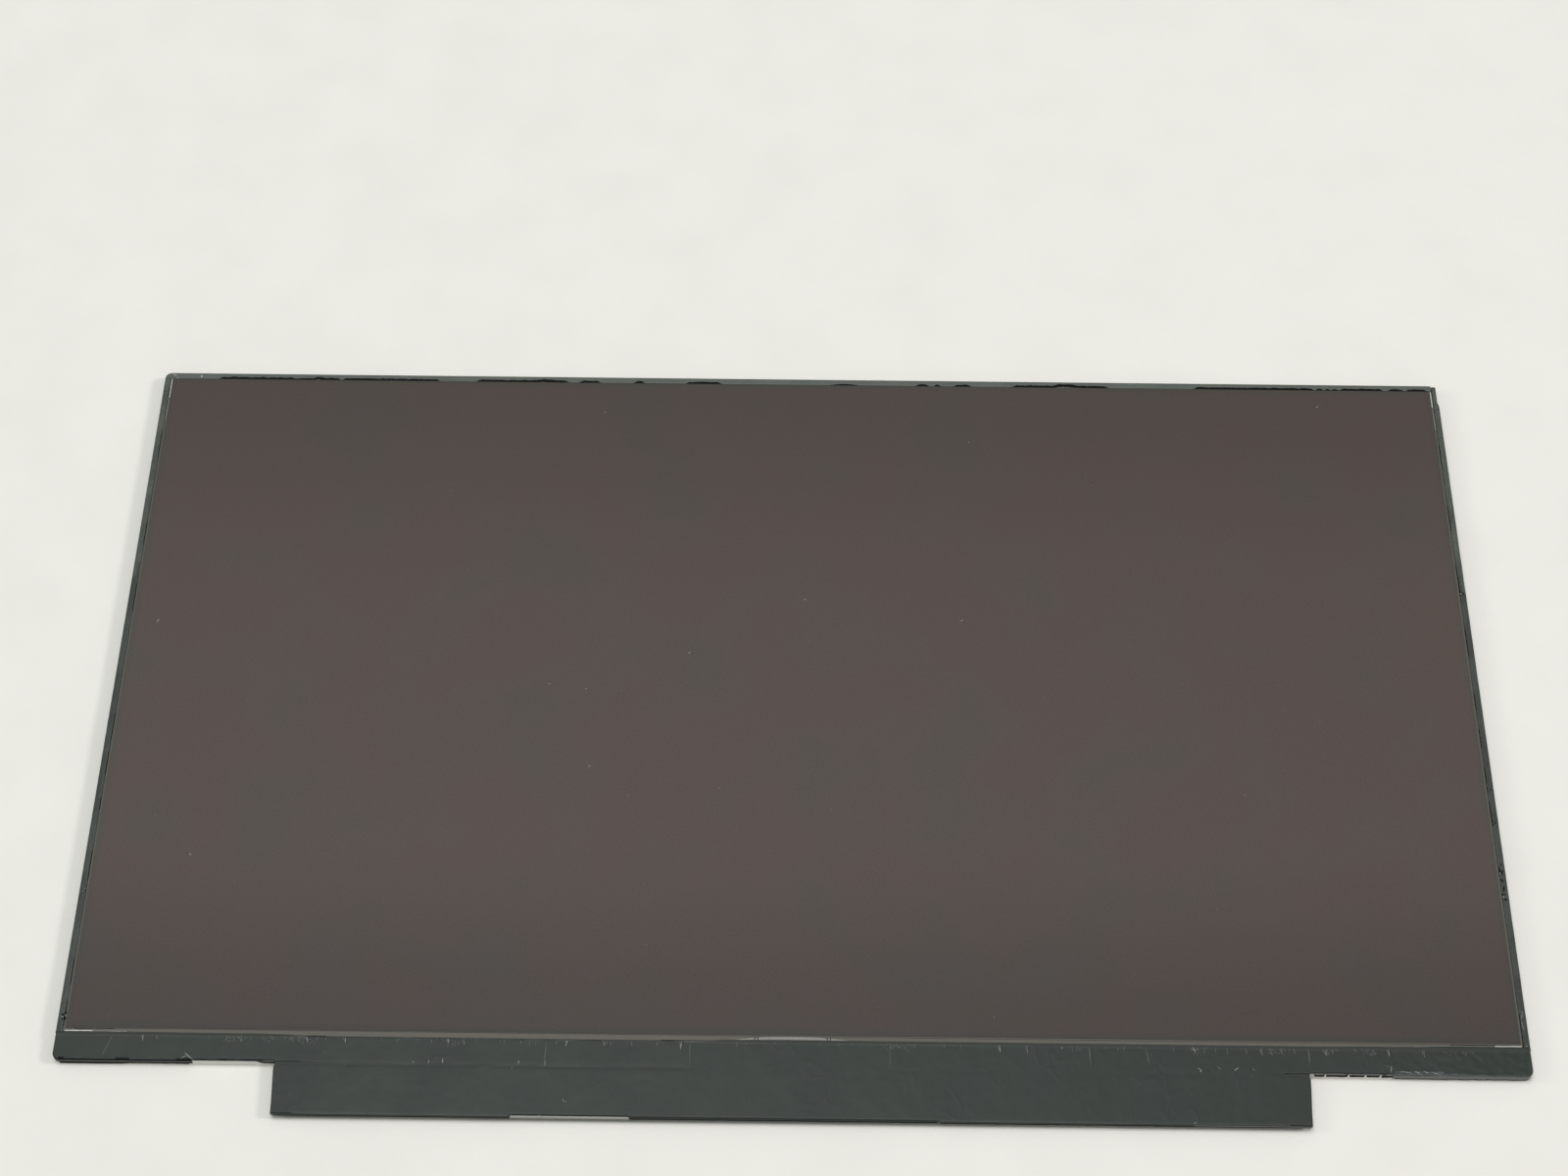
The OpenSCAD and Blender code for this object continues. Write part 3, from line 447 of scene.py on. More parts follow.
class TapeSettings(bpy.types.PropertyGroup):
    """Colours and creases of the tapes."""

    cover: colour_setting("Cover tape", "Colour of the tape over the ledge and the board",
                          (0.023, 0.032, 0.026))
    cover_patches: colour_setting("Cover tape patches", "Colour of that tape's satin patches",
                                  (0.025, 0.032, 0.0295))
    flap: colour_setting("Crumpled flap", "Colour of the crumpled flap at the right", (0.085, 0.095, 0.096))
    edge: colour_setting("Side tapes", "Colour of the tapes along the sides", (0.052, 0.060, 0.052))
    # Lighter than the side tapes, as painted sheen from the top tape's more grazing reflection
    top: colour_setting("Top tape", "Colour of the tape along the top", (0.115, 0.129, 0.115))
    adhesive: colour_setting("Torn layer", "Colour of the black layer at torn edges", (0.004, 0.004, 0.004))
    # Pale marks: painted highlights on the tape's creases, and its scratches
    marks: colour_setting("Stress marks", "Colour of the tape's pale creases and scratches",
                          (0.22, 0.235, 0.225))
    creases: length_setting("Creases", "Depth of the cover tape's creases", 0.0, 0.1, 0.05)
    tear: length_setting("Tear", "Depth of the torn edges", 0.0, 0.6, 0.35)


class BodySettings(bpy.types.PropertyGroup):
    """Colours of the frame, the rear cover and the board."""

    moulding: colour_setting("Frame", "Colour of the moulded frame", (0.74, 0.74, 0.70))
    cover: colour_setting("Rear cover", "Colour of the stamped sheet", (0.66, 0.67, 0.68))
    mask: colour_setting("Board", "Colour of the board's solder mask", (0.012, 0.07, 0.035))


class StageSettings(bpy.types.PropertyGroup):
    """Table, light and camera."""

    table: colour_setting("Table", "Colour of the table", (0.845, 0.845, 0.80))
    daylight: bpy.props.FloatProperty(
        name="Daylight", description="Strength of the even light from all round",
        min=0.0, max=3.0, default=0.36)
    ceiling: power_setting("Ceiling light", "Power of the broad light high above", 58.0)
    window: power_setting("Window", "Power of the soft light from the right", 39.0)
    side: power_setting("Side light", "Power of the faint light from the left", 5.5)
    lens: bpy.props.FloatProperty(
        name="Lens", description="Focal length on a sensor 36 mm wide",
        subtype="DISTANCE_CAMERA", min=10.0, max=300.0, default=67.21)


SETTINGS = {"panel_screen": ScreenSettings, "panel_tapes": TapeSettings, "panel_body": BodySettings,
            "panel_stage": StageSettings}


# Screen

def screen_material(look):
    """Matt polarizer: a brown-grey lit area, darker towards its top and bottom as painted shade, with a
    border and a grain.

    Along its lower edge it takes the colour of the glass, because the sheet ends a little above it, with a
    faint line of painted shadow above that margin."""
    material, tree, shader = plain_shader("Matt polarizer", look.face, look.roughness, Specular_IOR_Level=0.3)
    place = add(tree, "ShaderNodeTexCoord").outputs["Object"]
    axes = add(tree, "ShaderNodeSeparateXYZ", {0: place}).outputs
    middle_y = (SCREEN_Y + SCREEN_TOP_Y) / 2.0 + 0.25
    half_h = (SCREEN_TOP_Y - SCREEN_Y) / 2.0 - 1.5
    away_x = maths(tree, "SUBTRACT", maths(tree, "ABSOLUTE", axes["X"]), (SCREEN_X - 1.2) * MM)
    from_middle = maths(tree, "ABSOLUTE", maths(tree, "SUBTRACT", axes["Y"], middle_y * MM))
    away_y = maths(tree, "SUBTRACT", from_middle, half_h * MM)
    border = band(tree, maths(tree, "MAXIMUM", away_x, away_y), -0.3 * MM, 0.9 * MM)
    cloud = cloudy(tree, scaled_place(tree, 0.04))
    lit = tint(tree, band(tree, cloud, 0.46, 0.68), look.face, look.patches)
    grain = effect(tree, "grain", pitch=look.grain / MM)["Grain"]
    coarse = effect(tree, "grain", pitch=2.4 * look.grain / MM)["Grain"]
    sparkle = shared(tree, grain, coarse, 0.7)
    shown = dimmed(tree, tint(tree, border, lit, look.border), sparkle, 0.84, 1.16)
    # Painted shade: the face darkens towards its bottom and its top, standing in for the falloff of the
    # room's reflection
    for start, end, least in ((SCREEN_Y - 1.0, SCREEN_Y + 50.0, 0.68),
                              (SCREEN_TOP_Y + 2.0, SCREEN_TOP_Y - 70.0, 0.82)):
        inward = band(tree, axes["Y"], start * MM, end * MM, curve="SMOOTHSTEP")
        shown = dimmed(tree, shown, inward, least, 1.0)
    margin = band(tree, axes["X"], -45.0 * MM, 45.0 * MM, 0.06 * MM, 0.19 * MM)
    above = maths(tree, "SUBTRACT", maths(tree, "SUBTRACT", axes["Y"], SCREEN_Y * MM), margin)
    # Painted shadow: a faint dark line just above the glass-coloured margin
    shown = dimmed(tree, shown, band(tree, above, 0.5 * MM, 0.2 * MM), 1.0, 0.85)
    shown = tint(tree, band(tree, above, 0.03 * MM, -0.03 * MM), shown, look.glass)
    tree.links.new(shown, shader["Base Color"])
    bumped(tree, shader, sparkle, 0.006)
    return material


# Flakes that stand out on the screen: place, length, width and turn. Fine ones come on top of these.
FLAKES = (
    (-150.0, 25.0, 1.1, 0.3, 1.2), (38.6, 27.5, 0.8, 0.3, 0.4), (1.8, 33.0, 0.6, 0.25, 0.0),
    (-57.2, 8.7, 0.5, 0.4, 0.0), (-46.8, -13.3, 0.5, 0.3, 1.0), (-134.5, -37.2, 0.8, 0.3, -0.6),
    (-25.0, 17.7, 0.5, 0.35, 0.3), (-48.6, 7.5, 0.4, 0.3, 0.0), (127.6, 92.0, 0.5, 0.4, 0.0),
    (-48.0, 88.0, 0.5, 0.3, 0.8),
)
FINE_FLAKES = 70
FLAKE_CORNERS = 7


def speck_outline(rng, x, y, length, width, turn):
    """Points of one small irregular flake."""
    cos, sin = math.cos(turn), math.sin(turn)
    points = []
    for i in range(FLAKE_CORNERS):
        angle = 2.0 * math.pi * i / FLAKE_CORNERS
        grow = 0.75 + 0.5 * rng.random()
        px, py = length / 2.0 * math.cos(angle) * grow, width / 2.0 * math.sin(angle) * grow
        points.append((x + px * cos - py * sin, y + px * sin + py * cos))
    return points


def add_flake(bm, outline, bottom, top, material=0):
    """A thin flake between two levels."""
    low = [bm.verts.new(Vector((x, y, bottom)) * MM) for x, y in outline]
    high = [bm.verts.new(Vector((x, y, top)) * MM) for x, y in outline]
    bm.faces.new(high).material_index = material
    for i, vert in enumerate(high):
        around = (vert, low[i], low[(i + 1) % len(low)], high[(i + 1) % len(high)])
        bm.faces.new(around).material_index = material


def add_dust(bm):
    """Flakes that lie on the screen: a few that stand out, and fine ones all over."""
    rng = Random(14)
    bottom = SCREEN_Z - 0.02
    for flake in FLAKES:
        add_flake(bm, speck_outline(rng, *flake), bottom, SCREEN_Z + 0.0015)
    for _ in range(FINE_FLAKES):
        x, y = rng.uniform(-SCREEN_X, SCREEN_X), rng.uniform(SCREEN_Y, SCREEN_TOP_Y)
        size = 0.12 + 0.16 * rng.random() ** 2
        outline = speck_outline(rng, x, y, size, size * 0.7, rng.random() * 3.0)
        add_flake(bm, outline, bottom, SCREEN_Z + 0.001)


# Materials of the painted glass highlights: bright, dull, dark, and the cut face over the ledge as painted
# light
BRIGHT, DULL, DARK, LIT_FRONT = range(4)
GLINT_T = 0.008
# Painted highlight strips along the ledge: both ends, width and material
LEDGE_STRIPS = ((-156.1, -150.0, 0.3, BRIGHT), (-150.0, -142.5, 0.2, DULL), (150.3, 156.0, 0.3, BRIGHT),
                (133.0, 150.3, 0.12, DULL))
# Painted shadow lines under the screen's lower edge: both ends and width
SHADE_LINES = ((-154.0, -149.8, 0.2), (-149.4, -145.5, 0.16), (140.9, 150.4, 0.24), (150.4, 154.0, 0.14))
# The lens-shaped painted highlight in the middle of the ledge: half length, height and the lines across it
GLINT_HALF, GLINT_H = 12.2, 0.92
GLINT_LINES = (-7.95, -7.3, 7.6, 8.25)


def add_glass_glints_and_shade(bm):
    """Painted highlights on the filter glass's edges, with dark lines and painted shadow beside them."""
    level = FACE_Z + 0.01

    def rim(x):
        """Line that the painted highlight strips stand on."""
        return max(inner_edge(x), LEDGE_Y - 0.02)

    def strip(start, end, material, edges):
        """A strip along X, between the two places in Y that edges gives."""
        sheet_grid(bm, [[(x, y, level) for y in edges(x)] for x in spread(start, end, 0.5)], material)

    def flank(x, wide, start, end, material):
        """A ragged strip along Y, from a place in X outwards."""
        rows = [[(x, y, level), (x + wide * (0.7 + 0.3 * wave(y, x, 1.5, 3.0)), y, level)]
                for y in spread(start, end, 0.5)]
        sheet_grid(bm, rows, material)

    # The lens-shaped painted highlight in the middle of the ledge
    def chip(x):
        return rim(x) + 0.04, rim(x) + 0.06 + GLINT_H * max(0.0, 1.0 - (x / GLINT_HALF) ** 2)

    strip(-GLINT_HALF, GLINT_HALF, DULL, chip)
    for x in GLINT_LINES:
        add_mark(bm, lambda x, y: FACE_Z + 0.008, (x, rim(x) - 0.05), (x, rim(x) + 0.8), 0.26, DARK)
    for start, end, wide, material in LEDGE_STRIPS:
        strip(start, end, material, lambda x: (
            rim(x) + 0.04, rim(x) + 0.04 + wide * (0.8 + 0.3 * wave(x, 0.0, 1.8, 4.0))))
    # The glass's upright front over the ledge, in a lighter copy of the glass: painted light for a face that
    # gets little light
    front = LEDGE_Y - 0.015
    rows = [[(x, min(inner_edge(x) - 0.08, front - 0.01), TAPE_Z - 0.03), (x, front, TAPE_Z - 0.03),
             (x, front, FACE_Z + 0.004)] for x in spread(-100.0, -28.0, 0.5)]
    sheet_grid(bm, rows, LIT_FRONT)
    # Painted shadow under the screen's lower edge
    under = SCREEN_Y - 0.015
    for start, end, wide in SHADE_LINES:
        strip(start, end, DARK, lambda x: (under - wide * (0.75 + 0.35 * wave(x, 4.0, 1.2, 2.0)), under))
    # Painted highlights down both sides of the glass below the top corners, bright and then dull
    for side, bright in ((-1.0, EDGE_Y + 184.3), (1.0, EDGE_Y + 185.3)):
        flank(side * (SCREEN_X + 0.06), side * 0.36, bright, bright - 6.0, BRIGHT)
        flank(side * (SCREEN_X + 0.1), side * 0.26, bright - 6.6, bright - 13.0, DULL)


class PANEL_OT_screen(bpy.types.Operator):
    """Finishes the display cell, paints highlights and shade along its glass's edges and lays its dust"""

    bl_idname = "panel.screen"
    bl_label = "Screen"

    def execute(self, context):
        look = context.scene.panel_screen
        finish_nodes(screen_material(look), "front_polarizer")
        bm = bmesh.new()
        add_glass_glints_and_shade(bm)
        # Painted highlights, bright and dull, the dark lines, and a lighter copy of the glass as painted
        # light on its front
        ground = [grained("Ground glass", look.ground, 0.4, contrast=0.15),
                  grained("Dull ground glass", times(look.ground, 0.42), 0.5, contrast=0.15),
                  grained("Dark line", (0.012, 0.011, 0.01), 0.6),
                  grained("Glass front", times(look.glass, 1.5), 0.5)]
        make_piece("glass_ground_edges", bm, ground, thickness=GLINT_T)
        glass = grained("Cell glass", look.glass, 0.45, pitch=0.8, contrast=0.06, depth=0.002,
                        Specular_IOR_Level=0.3)
        finish_nodes(glass, "filter_glass", "array_glass")
        finish_nodes(grained("Rear polarizer", (0.03, 0.03, 0.032), 0.3), "rear_polarizer")
        bm = bmesh.new()
        add_dust(bm)
        make_piece("screen_dust", bm, [grained("Dust", (0.22, 0.21, 0.19), 0.8)])
        return {"FINISHED"}


# Tapes

# Creases of the cover tape that stand under the glass strip: place, length, lean at the foot, and strength
CREASES = (
    (-145.5, 5.2, -1.8, 0.3), (-139.1, 1.2, 0.1, 0.7), (-136.3, 1.0, 0.3, 0.5), (-121.0, 1.3, -0.3, 0.6),
    (-119.6, 1.0, 0.2, 0.6), (-118.0, 1.2, 0.1, 1.0), (-111.7, 0.5, 0.4, 0.5), (-107.2, 0.8, -0.3, 0.5),
    (-103.9, 1.0, 0.3, 0.8), (-99.9, 0.6, 0.1, 0.6), (-95.7, 1.1, 0.1, 0.7), (-77.1, 0.9, 0.0, 0.6),
    (-73.6, 0.8, 0.1, 0.8), (-70.1, 1.2, 0.0, 0.8), (-62.4, 0.6, 0.0, 0.5), (-58.0, 0.8, 0.0, 0.5),
    (-54.8, 1.1, 0.0, 0.6), (-52.6, 5.4, -0.1, 0.45), (-48.0, 1.3, -0.4, 0.9), (-40.1, 1.0, 0.0, 0.7),
    (-34.3, 1.0, 0.1, 0.6), (-23.6, 1.7, -0.2, 0.8), (-21.8, 5.2, 0.1, 0.35), (-11.7, 1.0, 0.0, 0.4),
    (21.1, 4.8, 0.0, 0.5), (22.5, 0.8, 0.2, 0.6), (26.3, 0.6, 0.0, 0.4), (32.7, 0.6, 0.0, 0.4),
    (44.4, 1.5, 0.2, 0.9), (50.4, 1.6, 0.0, 0.7), (61.0, 1.1, 0.0, 0.5), (63.6, 4.4, 0.2, 0.5),
    (75.6, 4.2, 0.7, 0.35), (85.7, 1.0, 0.6, 0.9), (93.1, 1.3, 0.0, 0.5), (97.2, 1.2, 0.0, 0.5),
    (100.5, 1.5, 0.0, 0.8), (102.6, 1.4, 0.0, 1.0), (104.3, 1.0, 0.5, 0.6), (107.4, 0.8, 0.0, 0.5),
    (110.4, 3.4, 0.1, 0.6), (114.5, 1.3, -0.5, 1.0), (115.5, 1.0, 0.1, 0.6), (127.5, 1.4, 0.1, 0.8),
    (135.1, 1.4, 0.0, 0.8),
)
# Materials of the marks on the tapes: bright, faint and dark
PALE, FAINT, SHADE = range(3)
# Scratches, painted glints, specks and painted groove shade on the cover tape: both ends, width and material
SCRATCHES = (
    ((-129.7, -85.2), (-127.8, -86.8), 0.28, PALE), ((-130.5, -86.7), (-129.1, -85.8), 0.16, PALE),
    ((-80.7, -86.4), (-80.6, -87.0), 0.3, PALE), ((-77.4, -86.2), (-77.4, -87.0), 0.22, PALE),
    ((-74.4, -85.6), (-74.4, -87.1), 0.22, PALE), ((-58.1, -86.1), (-58.2, -86.9), 0.24, PALE),
    ((-59.4, -87.4), (-59.6, -88.3), 0.2, FAINT), ((-52.5, -85.9), (-52.6, -87.4), 0.14, PALE),
    ((-48.2, -94.6), (-48.2, -95.4), 0.13, PALE), ((-48.2, -95.4), (-47.4, -95.4), 0.13, PALE),
    ((57.6, -81.6), (58.0, -81.6), 0.3, PALE), ((87.1, -86.1), (87.1, -86.9), 0.3, PALE),
    ((86.5, -85.9), (87.0, -86.2), 0.2, PALE), ((85.4, -98.2), (84.9, -98.7), 0.2, PALE),
    ((90.8, -85.5), (91.5, -86.2), 0.3, FAINT), ((94.2, -86.4), (95.2, -85.7), 0.26, PALE),
    ((98.1, -85.8), (98.7, -86.4), 0.22, FAINT), ((126.3, -84.7), (127.6, -85.2), 0.18, FAINT),
    ((127.8, -84.8), (127.6, -86.4), 0.2, PALE),
    ((129.6, -86.0), (132.0, -86.6), 0.22, PALE), ((132.6, -86.0), (134.0, -86.8), 0.3, PALE),
    ((134.4, -85.9), (136.0, -86.8), 0.26, PALE), ((136.2, -86.2), (138.2, -86.9), 0.22, PALE),
    ((139.0, -86.5), (143.5, -86.8), 0.16, FAINT), ((144.0, -86.6), (150.0, -86.9), 0.14, FAINT),
    ((-106.0, -87.1), (-97.0, -87.2), 0.14, SHADE), ((-97.0, -87.1), (-84.5, -87.2), 0.10, SHADE),
    ((-77.0, -87.1), (-71.0, -87.2), 0.1, SHADE),
    ((-70.5, -87.2), (-61.0, -87.1), 0.06, SHADE), ((-58.0, -87.2), (-53.0, -87.1), 0.10, SHADE),
    ((-40.0, -87.2), (-35.0, -87.2), 0.07, SHADE), ((-34.0, -87.2), (-22.5, -87.2), 0.1, SHADE),
    ((99.0, -87.1), (107.0, -87.2), 0.1, SHADE),
)
# Rubbed places under the glass strip: middle and half width
RUBBED = ((-119.5, 2.5), (-112.0, 1.5), (-104.5, 3.0), (-73.0, 2.0), (22.0, 3.0), (86.0, 1.0), (104.5, 3.0),
          (114.8, 1.6), (123.0, 3.0), (142.0, 3.0))

# Half width of a crease
CREASE_HALF = 0.45


def crease_height(x, y):
    """Height of the creases at a place, in crease depths."""
    height = 0.0
    for place, length, lean, strength in CREASES:
        down = (LEDGE_Y - y) / length
        reach = abs(x - place - lean * down)
        if reach < CREASE_HALF and down < 1.3:
            side = 1.0 - reach / CREASE_HALF
            height += (0.3 + 0.7 * strength) * (side * side - 0.25) * smooth(1.3, 0.8, down)
    return height


def film_spans():
    """Where each film runs across the gap, as pairs of X."""
    return [(limit(film, 0, 0), limit(film, 1, 0)) for film in numbered("source_film", 4)]


def sink(x, y, spans):
    """How far the tape sinks into the gap between the frame and the board."""
    across = max(smooth(a - 0.3, a + 1.0, x) * (1.0 - smooth(b - 1.0, b + 0.3, x)) for a, b in spans)
    middle = (WALL_Y + BOARD_TOP_Y) / 2.0
    near = max(0.0, 1.0 - abs(y - middle) / 0.75)
    deep = 0.024 - 0.018 * smooth(-26.0, -12.0, x)
    return deep * (0.12 + 0.88 * across) * near * near * (3.0 - 2.0 * near)


def inner_edge(x):
    """Upper edge of the cover tape: against the glass left of the middle, and over it towards both ends."""
    left = 0.3 * smooth(-98.0, -116.0, x) + 0.08 * smooth(-125.0, -150.0, x)
    right = 0.28 * smooth(-40.0, 5.0, x) + 0.12 * smooth(112.0, 124.0, x) + 0.32 * smooth(130.0, 142.0, x)
    return LEDGE_Y - 0.06 + left + right + 0.035 * wave(x, 0.0, 3.0, 2.0)


def corner_inset(x, inset, edge, sign):
    """Y of a line set in from the outline at the top (sign 1) or the bottom (sign -1), round the corners."""
    radius = CORNER_R - inset
    over = max(0.0, abs(x) - CORNER_X)
    drop = radius - math.sqrt(max(0.0, radius * radius - over * over))
    return edge - sign * (inset + drop)


def outward(x, inset, sign):
    """Outward direction of the outline at that X."""
    side = min(1.0, max(0.0, (abs(x) - CORNER_X) / (CORNER_R - inset)))
    return math.copysign(side, x), sign * math.sqrt(1.0 - side * side)


# Steps of a fold over an edge, and of the flap below it
FOLD_STEPS = 3
WALL_STEPS = 5


def fold_down(ring, fold, levels, bulge):
    """Rows that fold a sheet over an edge and run it down a wall to the levels.

    ring holds (x, y, z, nx, ny) on the sheet where the fold starts, and bulge gives how far the sheet stands
    off the wall, from the place in the ring and the share of the way down."""
    rows = []
    for index, (x, y, z, nx, ny) in enumerate(ring):
        row = [(x, y, z)]
        for step in range(1, FOLD_STEPS + 1):
            angle = math.pi / 2.0 / FOLD_STEPS * step
            out = fold * math.sin(angle)
            row.append((x + nx * out, y + ny * out, z - fold * (1.0 - math.cos(angle))))
        for step in range(1, WALL_STEPS + 1):
            share = step / WALL_STEPS
            level = (z - fold) + (levels[index] - z + fold) * share
            out = fold + bulge(index, share)
            row.append((x + nx * out, y + ny * out, level))
        rows.append(row)
    return rows


def corner_columns(fold):
    """Columns from the straight part of the outline round to the side."""
    return [CORNER_X + (CORNER_R - fold) * math.sin(math.radians(a)) for a in range(10, 91, 10)]


# Materials of the cover tape: its film, the black layer, the crumpled and turned parts of the right flap, the
# turned ones a lighter copy as painted highlight, and the rubbed step where it climbs the glass
FILM, BLACK, CRUMPLED, LIT_TURNED, CLIMB = range(5)
# The set-back stretch of the tape's lower edge on the board, how gently it ends, and where the tab's turned
# edge starts to take a painted highlight
FOOT_START, FOOT_END, FOOT_EASE = -59.4, 25.0, 6.0
LIT_X = 85.0


class CoverTape:
    """The sheet that covers the ledge and the board, as grids of points."""

    fold = 0.2
    band_rows = 15

    def __init__(self, look):
        self.depth = look.creases / MM
        self.tear = look.tear / MM
        self.spans = film_spans()
        fine = [crease[0] + d for crease in CREASES for d in (-0.25, 0.0, 0.25)]
        corner = corner_columns(self.fold)
        keep = [-CORNER_X, -FLAP_X, -BOARD_X, BOARD_X, FLAP_X, CORNER_X]
        places = spread(-CORNER_X, CORNER_X, 0.5) + [x for x in fine if abs(x) < CORNER_X]
        places = sorted(set(round(x, 2) for x in places))
        places = [x for x in places if all(abs(x - k) > 0.12 for k in keep)]
        self.columns = sorted(places + keep + corner + [-x for x in corner])

    def height(self, x, y):
        """Level of the tape's face where it lies over the ledge and the board."""
        low = 0.022 * wave(x, y, 5.0, 3.0) + 0.012 * wave(x, y, 1.6, 8.0)
        if x > FLAP_X - 1.0:
            low += 0.05 * wave(x, y, 1.3, 4.0) + 0.03 * wave(x, y, 0.6, 6.0)
        rise = self.depth * crease_height(x, y)
        settled = min(0.045, low + rise)
        return TAPE_Z + settled - sink(x, y, self.spans)

    def outer_edge(self, x):
        """Where the band ends: at the fold, at a torn edge, or at the wall above the board."""
        if abs(x) >= FLAP_X - 1e-6:
            return corner_inset(x, self.fold, EDGE_Y, -1)
        if abs(x) > BOARD_X + TAB_FLARE:
            return WALL_Y + 0.05 + self.tear * torn(x, 5.0)
        return WALL_Y

    def band_column(self, x):
        """Points of one column of the band, from the glass down to the outer edge."""
        top = inner_edge(x)
        lift = smooth(0.0, 0.12, top - LEDGE_Y)
        high = TAPE_Z + lift * (EDGE_TAPE_Z - TAPE_Z)
        over = [top, top - 0.5 * max(0.06, top - LEDGE_Y), min(top - 0.06, LEDGE_Y + 0.01)]
        column = [(x, y, high - 0.012 * i) for i, y in enumerate(over)]
        start = min(LEDGE_Y - 0.2, top - 0.16)
        end = self.outer_edge(x)
        column.append((x, min(LEDGE_Y - 0.1, top - 0.1), TAPE_Z + 0.35 * (high - TAPE_Z)))
        for i in range(self.band_rows + 1):
            y = start + (end - start) * i / self.band_rows
            column.append((x, y, self.height(x, y)))
        return column

    def flap(self, side):
        """Rows of the flap folded down the wall at one side, round the corner."""
        columns = sorted((x for x in self.columns if x * side >= FLAP_X - 1e-6), key=abs)
        ring = []
        for x in columns:
            y = self.outer_edge(x)
            ring.append((x, y, self.height(x, y), *outward(x, self.fold, -1)))
        ring += [(x, y, z, side, 0.0) for x, y, z in reversed(self.band_column(columns[-1])[:-1])]
        levels = []
        for x, y, z, nx, _ in ring:
            way = x + 3.0 * (y - EDGE_Y)
            if side < 0:
                low = 0.1 + 0.32 * smooth(-144.0, -142.0, x)
                if 0.05 < abs(nx) < 0.999:
                    low = 0.75
            else:
                low = 0.3
            levels.append(low + 0.22 * torn(way, 11.0 + side) + (0.35 if abs(x) < FLAP_X + 0.8 else 0.0))
        rough = 0.16 if side > 0 else 0.05

        def bulge(index, share):
            x, y, _, nx, _ = ring[index]
            if abs(nx) > 0.2:
                return -0.12 * abs(wave(y, share, 3.0, 2.0)) * share
            lump = abs(wave(x, share * 1.5, 1.4, 9.0 + side)) + 0.5 * abs(wave(x, share, 0.5, 3.0))
            return rough * lump * math.sin(math.pi * min(1.0, share * 0.8))

        return fold_down(ring, self.fold, levels, bulge)

    def band_material(self, point, place):
        """The band is rubbed where it climbs the glass, black along the left flap's fold, and crumpled
        where it turns into the right flap."""
        x, y, _ = point
        if place in (2, 3) and inner_edge(x) > LEDGE_Y + 0.03:
            return CLIMB
        if x < -FLAP_X:
            return BLACK if y < EDGE_Y + 0.5 + 0.3 * wave(x, 0.0, 7.0, 4.0) else FILM
        wide = 1.15 - 0.85 * smooth(132.0, 153.0, x) + 0.25 * wave(x, 0.0, 2.0, 9.0)
        return CRUMPLED if x > FLAP_X and y < EDGE_Y + wide else FILM

    def flap_material(self, point, place):
        """The left flap is black but for one grey line of painted highlight, the right one crumpled with a
        black lower edge.
        """
        if point[0] < 0.0:
            if point[0] < 1.0 - HALF_W and point[1] > EDGE_Y + 1.6:
                return FILM
            return LIT_TURNED if place == 4 else BLACK
        if place >= 7:
            return BLACK
        return LIT_TURNED if 1 < place < 6 else CRUMPLED

    def tab_fold_material(self, point, place):
        """The tab's turned edge takes a painted highlight at its sides and right end, and its lower part is
        black as painted shade.
        """
        lit = abs(point[0]) > BOARD_X - 0.5 or point[0] > LIT_X
        if place > (4 if lit else 3):
            return BLACK
        return LIT_TURNED if lit and place > 1 else FILM

    def foot_edge(self, x):
        """Lower edge of the tape on the board: folded at the ends, set back in the middle."""
        if x <= FOOT_START or x >= FOOT_END + FOOT_EASE:
            return FOOT_Y + self.fold
        back = (0.42 if x < LINER_END else 0.2) * (1.0 - smooth(FOOT_END, FOOT_END + FOOT_EASE, x))
        return FOOT_Y + max(self.fold, back + 0.04 * torn(x, 21.0))

    def tab_column(self, x):
        """Points of one column over the gap and the board, a little wider towards the wall."""
        foot = self.foot_edge(x)
        ys = spread(WALL_Y, BOARD_TOP_Y - 0.15, 0.16) + spread(BOARD_TOP_Y - 0.55, foot, 0.5)
        near = math.copysign(TAB_FLARE * smooth(BOARD_X - 5.0, BOARD_X - 0.2, abs(x)), x)
        column = [(x + near * (0.35 + 0.65 * smooth(FOOT_Y, WALL_Y, y)), y) for y in ys]
        return [(*place, self.height(*place)) for place in column]

    def tab_columns(self):
        """Columns of the tab between its folded sides."""
        edge = BOARD_X - self.fold
        return [-edge] + [x for x in self.columns if abs(x) < edge - 0.05] + [edge]

    def tab_rows(self):
        """Columns of the tab as points, each with the same number of them."""
        columns = [self.tab_column(x) for x in self.tab_columns()]
        longest = max(len(column) for column in columns)
        return [column + [column[-1]] * (longest - len(column)) for column in columns]

    def tab_fold(self, side):
        """Rows that fold the tab down the board's side and round its lower edge."""
        columns = self.tab_columns()[::side]
        outer = columns[-1]
        ring = [(x, y, z, side, 0.0) for x, y, z in self.tab_column(outer) if y < BOARD_TOP_Y]
        _, low, level, _, _ = ring[-1]
        for turn in map(math.radians, (60, 30)):
            ring.append((outer, low, level, side * math.sin(turn), -math.cos(turn)))
        stop = FOOT_END + FOOT_EASE if side > 0 else -FOOT_START
        for x in reversed(columns):
            if x * side > stop:
                ring.append((x, self.foot_edge(x), self.height(x, self.foot_edge(x)), 0.0, -1.0))
        levels = [BOARD_Z - 0.1 + 0.02 * torn(p[0] + p[1], 4.0) for p in ring]
        rows = fold_down(ring, self.fold, levels, lambda index, share: 0.0)
        for row, place in zip(rows, ring):
            x, y, z = row[-1]
            if place[4] < -0.9:
                row += [(x, y + d, z - 0.02) for d in (0.12, 0.5, 0.9, 1.25 + 0.2 * torn(x, 2.0))]
            else:
                row += [(x, y, z)] * 4
        return rows


